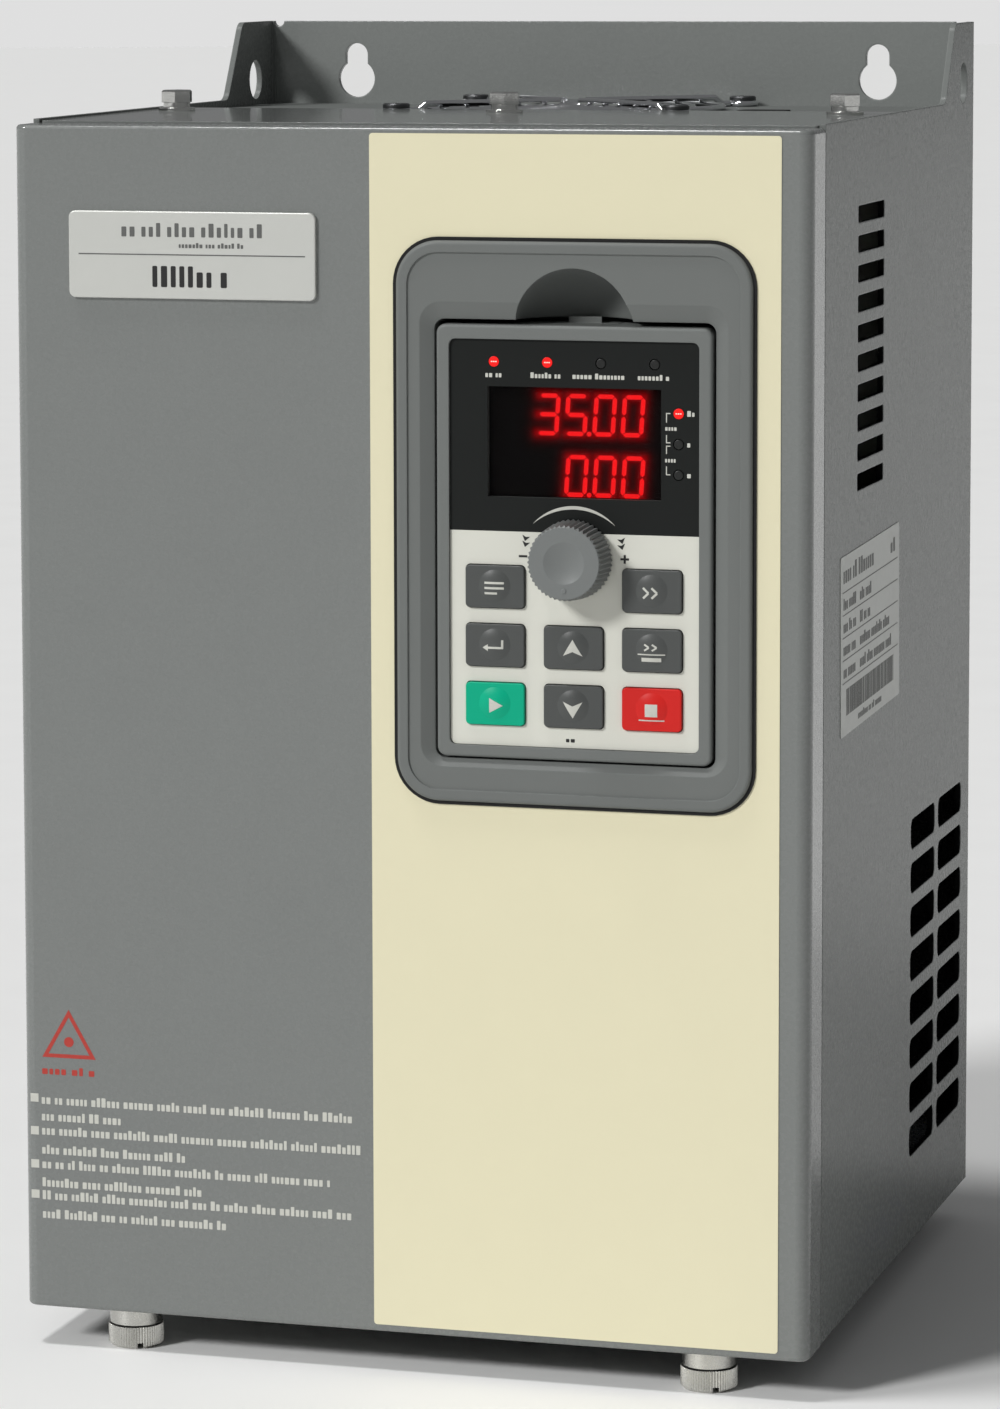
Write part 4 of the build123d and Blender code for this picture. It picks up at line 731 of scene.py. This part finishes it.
GLOW_STEP = 0.4
GLOW_REACH = 0.62
columns = int((window_high[0] - window_low[0]) / GLOW_STEP)
ranks = int((window_high[2] - window_low[2]) / GLOW_STEP)
bm = bmesh.new()
shade = bm.verts.layers.float.new("glow")
grid = []
for j in range(ranks + 1):
    row = []
    for i in range(columns + 1):
        x = window_low[0] + (window_high[0] - window_low[0]) * i / columns
        y = window_low[2] + (window_high[2] - window_low[2]) * j / ranks
        vertex = bm.verts.new(front(x, y, display_face - 0.04))
        vertex[shade] = exp(-nearest(x, y) / GLOW_REACH)
        row.append(vertex)
    grid.append(row)
for j in range(ranks):
    for i in range(columns):
        bm.faces.new((grid[j][i], grid[j][i + 1], grid[j + 1][i + 1], grid[j + 1][i]))
glow_film = Finish("display_glow", rgb(8, 6, 6), 0.5, mottle=0.03, grain_mm=2.0, relief=0.0,
                   Specular_IOR_Level=0.05)
glow_value = glow_film.node("ShaderNodeAttribute")
glow_value.attribute_name = "glow"
glow_film.tree.links.new(glow_film.mix(glow_value.outputs["Fac"], (0, 0, 0, 1), rgb(200, 0, 8)),
                         glow_film.shader.inputs["Emission Color"])
glow_film.shader.inputs["Emission Strength"].default_value = 0.6
add("display_glow", bm, "keypad", glow_film.material)

lit = [led_rows[0], led_rows[1], unit_leds[0]]
lens_depth = in_mm("indicator_leds")[0][1]
LENS_FRONT = lens_depth - 0.06
LENS_RADIUS = 1.2
flats("lit_lenses", [disc(x, y, LENS_RADIUS, 24) for x, y in lit], LENS_FRONT, lens_depth + 0.1, front,
      "keypad", led_lit.material, bevel=0.04)
flats("lens_glints", [rounded(x + offset, y, 0.4, 0.28, 0.1, 2) for x, y in lit for offset in (-0.5, 0, 0.5)],
      LENS_FRONT - 0.02, LENS_FRONT + 0.02, front, "keypad", led_glint.material)

# ---------------------------------------------------------------- keys
DOME_RADIUS, DOME_CROWN, DOME_RISE = 3.7, 0.65, 0.2
DOME_BALL = (DOME_RADIUS ** 2 + DOME_CROWN ** 2) / (2 * DOME_CROWN)


def key_surface(key):
    """The depth of a key's face, dome included, and the middle of the key."""
    low, high = in_mm(key)
    x = (low[0] + high[0]) / 2
    height = (low[2] + high[2]) / 2
    flat = low[1] + DOME_CROWN

    def depth(u, v):
        away = hypot(u - x, v - height - DOME_RISE)
        if away >= DOME_RADIUS:
            return flat
        return flat - (sqrt(DOME_BALL ** 2 - away ** 2) - (DOME_BALL - DOME_CROWN))

    return depth, x, height


icons = {
    "program_key": [rect(0, 0.9, 4.6, 0.5), rect(0, -0.3, 4.6, 0.5), rect(-0.8, -1.5, 3.0, 0.5)],
    "quick_key": [stroke(-1.9, 0.9, -0.6, -0.3, 0.5), stroke(-1.9, -1.5, -0.6, -0.3, 0.5),
                  stroke(0.1, 0.9, 1.4, -0.3, 0.5), stroke(0.1, -1.5, 1.4, -0.3, 0.5)],
    "enter_key": [rect(1.9, 0.35, 0.5, 1.9), rect(0.1, -0.5, 4.0, 0.5),
                  [(-2.8, -0.5), (-1.5, -1.3), (-1.5, 0.3)]],
    "up_key": [[(0, 2.0), (2.3, -1.8), (0, -0.8), (-2.3, -1.8)]],
    "shift_key": [stroke(-1.6, 1.5, -0.5, 0.8, 0.4), stroke(-1.6, 0.1, -0.5, 0.8, 0.4),
                  stroke(0.2, 1.5, 1.3, 0.8, 0.4), stroke(0.2, 0.1, 1.3, 0.8, 0.4), rect(0, -0.8, 6.4, 0.28),
                  rect(0, -2.0, 4.6, 0.9)],
    "run_key": [[(-1.2, 1.4), (2.0, -0.3), (-1.2, -2.0)]],
    "down_key": [[(0, -2.6), (2.3, 1.2), (0, 0.2), (-2.3, 1.2)]],
    "stop_key": [rect(0, -0.1, 2.9, 2.9), rect(0, -2.4, 6.0, 0.28)],
}
for key, outlines in icons.items():
    surface, key_x, key_h = key_surface(key)
    moved = [[(key_x + u, key_h + v) for u, v in outline] for outline in outlines]
    draped(f"{key}_icon", moved, surface, INK, key, ink_light.material)

# Small raised mark near the rim of the knob's face.
knob_low, knob_high = in_mm("knob")
knob_x = (knob_low[0] + knob_high[0]) / 2
knob_h = (knob_low[2] + knob_high[2]) / 2
bm = bmesh.new()
cylinder(bm, knob_x, knob_h - 6.3, 0.62, knob_low[1] - 0.16, knob_low[1] + 0.1)
add("knob_mark", bm, "knob", knob_plastic.material, bevel=0.14)

# Painted shadow: a dark strip under the tray's rim stands in for the shade in the gap around the tray.
tray_low, tray_high = in_mm("keypad_tray")
tray_x = (tray_low[0] + tray_high[0]) / 2
tray_h = (tray_low[2] + tray_high[2]) / 2
tray_w = tray_high[0] - tray_low[0]
tray_t = tray_high[2] - tray_low[2]
bm = bmesh.new()
outer_rim = rounded(tray_x, tray_h, tray_w + 1.6, tray_t + 1.6, 10.8, 10)
inner_rim = rounded(tray_x, tray_h, tray_w - 1.0, tray_t - 1.0, 9.5, 10)
band(bm, outer_rim, inner_rim, film_depth - 0.35, film_depth + 0.05, front)
add("tray_shadow_strip", bm, "front_cover", rubber_and_shadow.material)

# ---------------------------------------------------------------- fan
fan_low, fan_high = in_mm("fan_rotor")
fan_x = (fan_low[0] + fan_high[0]) / 2
fan_d = (fan_low[1] + fan_high[1]) / 2
flats("fan_label", [disc(fan_x, fan_d, 13.5, 48)], fan_high[2], fan_high[2] + 0.08, level, "fan_rotor",
      label_silver.material)
flats("fan_label_print", [turned(rect(fan_x + 8 * cos(a), fan_d + 8 * sin(a), 3.0, 0.8), a * 180 / pi + 90,
                                 fan_x + 8 * cos(a),
                                 fan_d + 8 * sin(a)) for a in [i * pi / 6 for i in range(12)]],
      fan_high[2] + 0.06, fan_high[2] + 0.1, level, "fan_rotor", ink_grey.material)

# ---------------------------------------------------------------- control board parts
face = in_mm("control_board")[0][1]
block_low, block_high = in_mm("control_terminals")


def parts(name, boxes, body, slot, material, bevel=0.25):
    """Boxes of (x, height, width, tall, thickness) standing on the control board's face."""
    bm = bmesh.new()
    for x, y, width, tall, thick in boxes:
        prism(bm, rect(x, y, width, tall), face - thick, face, front)
    return add(name, bm, body, material, bevel)


chips = [(-20, 128, 20, 20, 1.4), (18, 138, 10, 6, 1.5), (18, 126, 10, 6, 1.5), (40, 132, 7.6, 5, 1.6),
         (40, 120, 7.6, 5, 1.6), (-52, 136, 12, 8, 1.6), (-52, 120, 8, 5, 1.6), (60, 142, 6, 9, 1.5)]
parts("board_chips", chips, "case", "black_plastic", black.material)
LEG_PITCH = 1.27
legs = []
for x, y, width, tall, thick in chips:
    count = int(width / LEG_PITCH)
    for i in range(count):
        at = x + (i - (count - 1) / 2) * LEG_PITCH
        for side in (-1, 1):
            legs.append((at, y + side * (tall / 2 + 0.6), 0.5, 1.3, 0.5))
parts("chip_legs", legs, "case", "nickel_screws", tin.material, bevel=0)
parts("board_relays", [(-60, 103, 19, 15, 15.5), (60, 103, 19, 15, 15.5)], "case", "black_plastic",
      relay_blue.material, bevel=0.5)
parts("board_sockets", [(-30, 166, 22, 8, 9), (8, 168, 14, 7, 9), (48, 166, 18, 8, 9), (-66, 158, 7, 20, 8)],
      "case", "white_overlay", beige.material, bevel=0.4)
chip_parts = []
for i in range(70):
    x, y = dice.uniform(-68, 68), dice.uniform(96, 158)
    clear_of_chips = all(abs(x - c[0]) > c[2] / 2 + 2.5 and abs(y - c[1]) > 0
                         or abs(y - c[1]) > c[3] / 2 + 2.5 for c in chips)
    if clear_of_chips and not (abs(abs(x) - 60) < 12 and abs(y - 103) < 10):
        wide, tall = (2.0, 1.2) if dice.random() < 0.5 else (1.2, 2.0)
        chip_parts.append((x, y, wide, tall, 0.7))
parts("board_resistors", chip_parts[::2], "case", "black_plastic", ink_black.material, bevel=0.08)
parts("board_ceramics", chip_parts[1::2], "case", "coil_wrap", brown.material, bevel=0.08)
can_places = [(-36, 108, 4, 10), (-24, 108, 4, 10), (-10, 106, 5, 12), (34, 104, 4, 10), (46, 158, 3.2, 8)]
bm = bmesh.new()
for x, y, radius, tall in can_places:
    cylinder(bm, x, y, radius, face - tall, face)
add("board_cans", bm, "case", sleeve.material, bevel=0.35)
bm = bmesh.new()
for x, y, radius, tall in can_places:
    cylinder(bm, x, y, radius * 0.82, face - tall - 0.06, face - tall + 0.1)
add("board_can_tops", bm, "case", tin.material)
WAYS = 22
way_pitch = (block_high[0] - block_low[0] - 2) / WAYS
bm = bmesh.new()
for i in range(WAYS):
    x = (i - (WAYS - 1) / 2) * way_pitch
    cylinder(bm, x, (block_low[2] + block_high[2]) / 2 + 2.5, 1.6, block_low[1] + 0.9, block_low[1] + 2.4, 16)
add("terminal_heads", bm, "case", nickel.material, bevel=0.15)
flats("board_print",
      words(-50, -28, 146, 1.4, 1.0) + words(8, 34, 147, 1.4, 1.0) + words(-54, 56, 94, 1.3, 0.9),
      face - 0.05, face + 0.02, front, "case", ink_white.material)

# Aluminium ends of the capacitors, scored with a cross.
cap_low, cap_high = in_mm("bus_capacitors")
CAN_WIDTH = 35.0
cap_pitch_x = (cap_high[0] - cap_low[0] - CAN_WIDTH) / 2
cap_mid_h = (cap_low[2] + cap_high[2]) / 2
tops, scores = [], []
for i in (-1, 0, 1):
    for j in (-0.5, 0.5):
        x, y = i * cap_pitch_x, cap_mid_h + j * (cap_high[2] - cap_low[2] - CAN_WIDTH)
        tops.append(disc(x, y, 14.2, 48))
        scores += [turned(rect(x, y, 17, 0.5), a, x, y) for a in (45, 135)]
flats("capacitor_ends", tops, cap_low[1] - 0.08, cap_low[1] + 0.2, front, "case",
      tin.material)
flats("capacitor_scores", scores, cap_low[1] - 0.12, cap_low[1], front, "case",
      ink_grey.material)
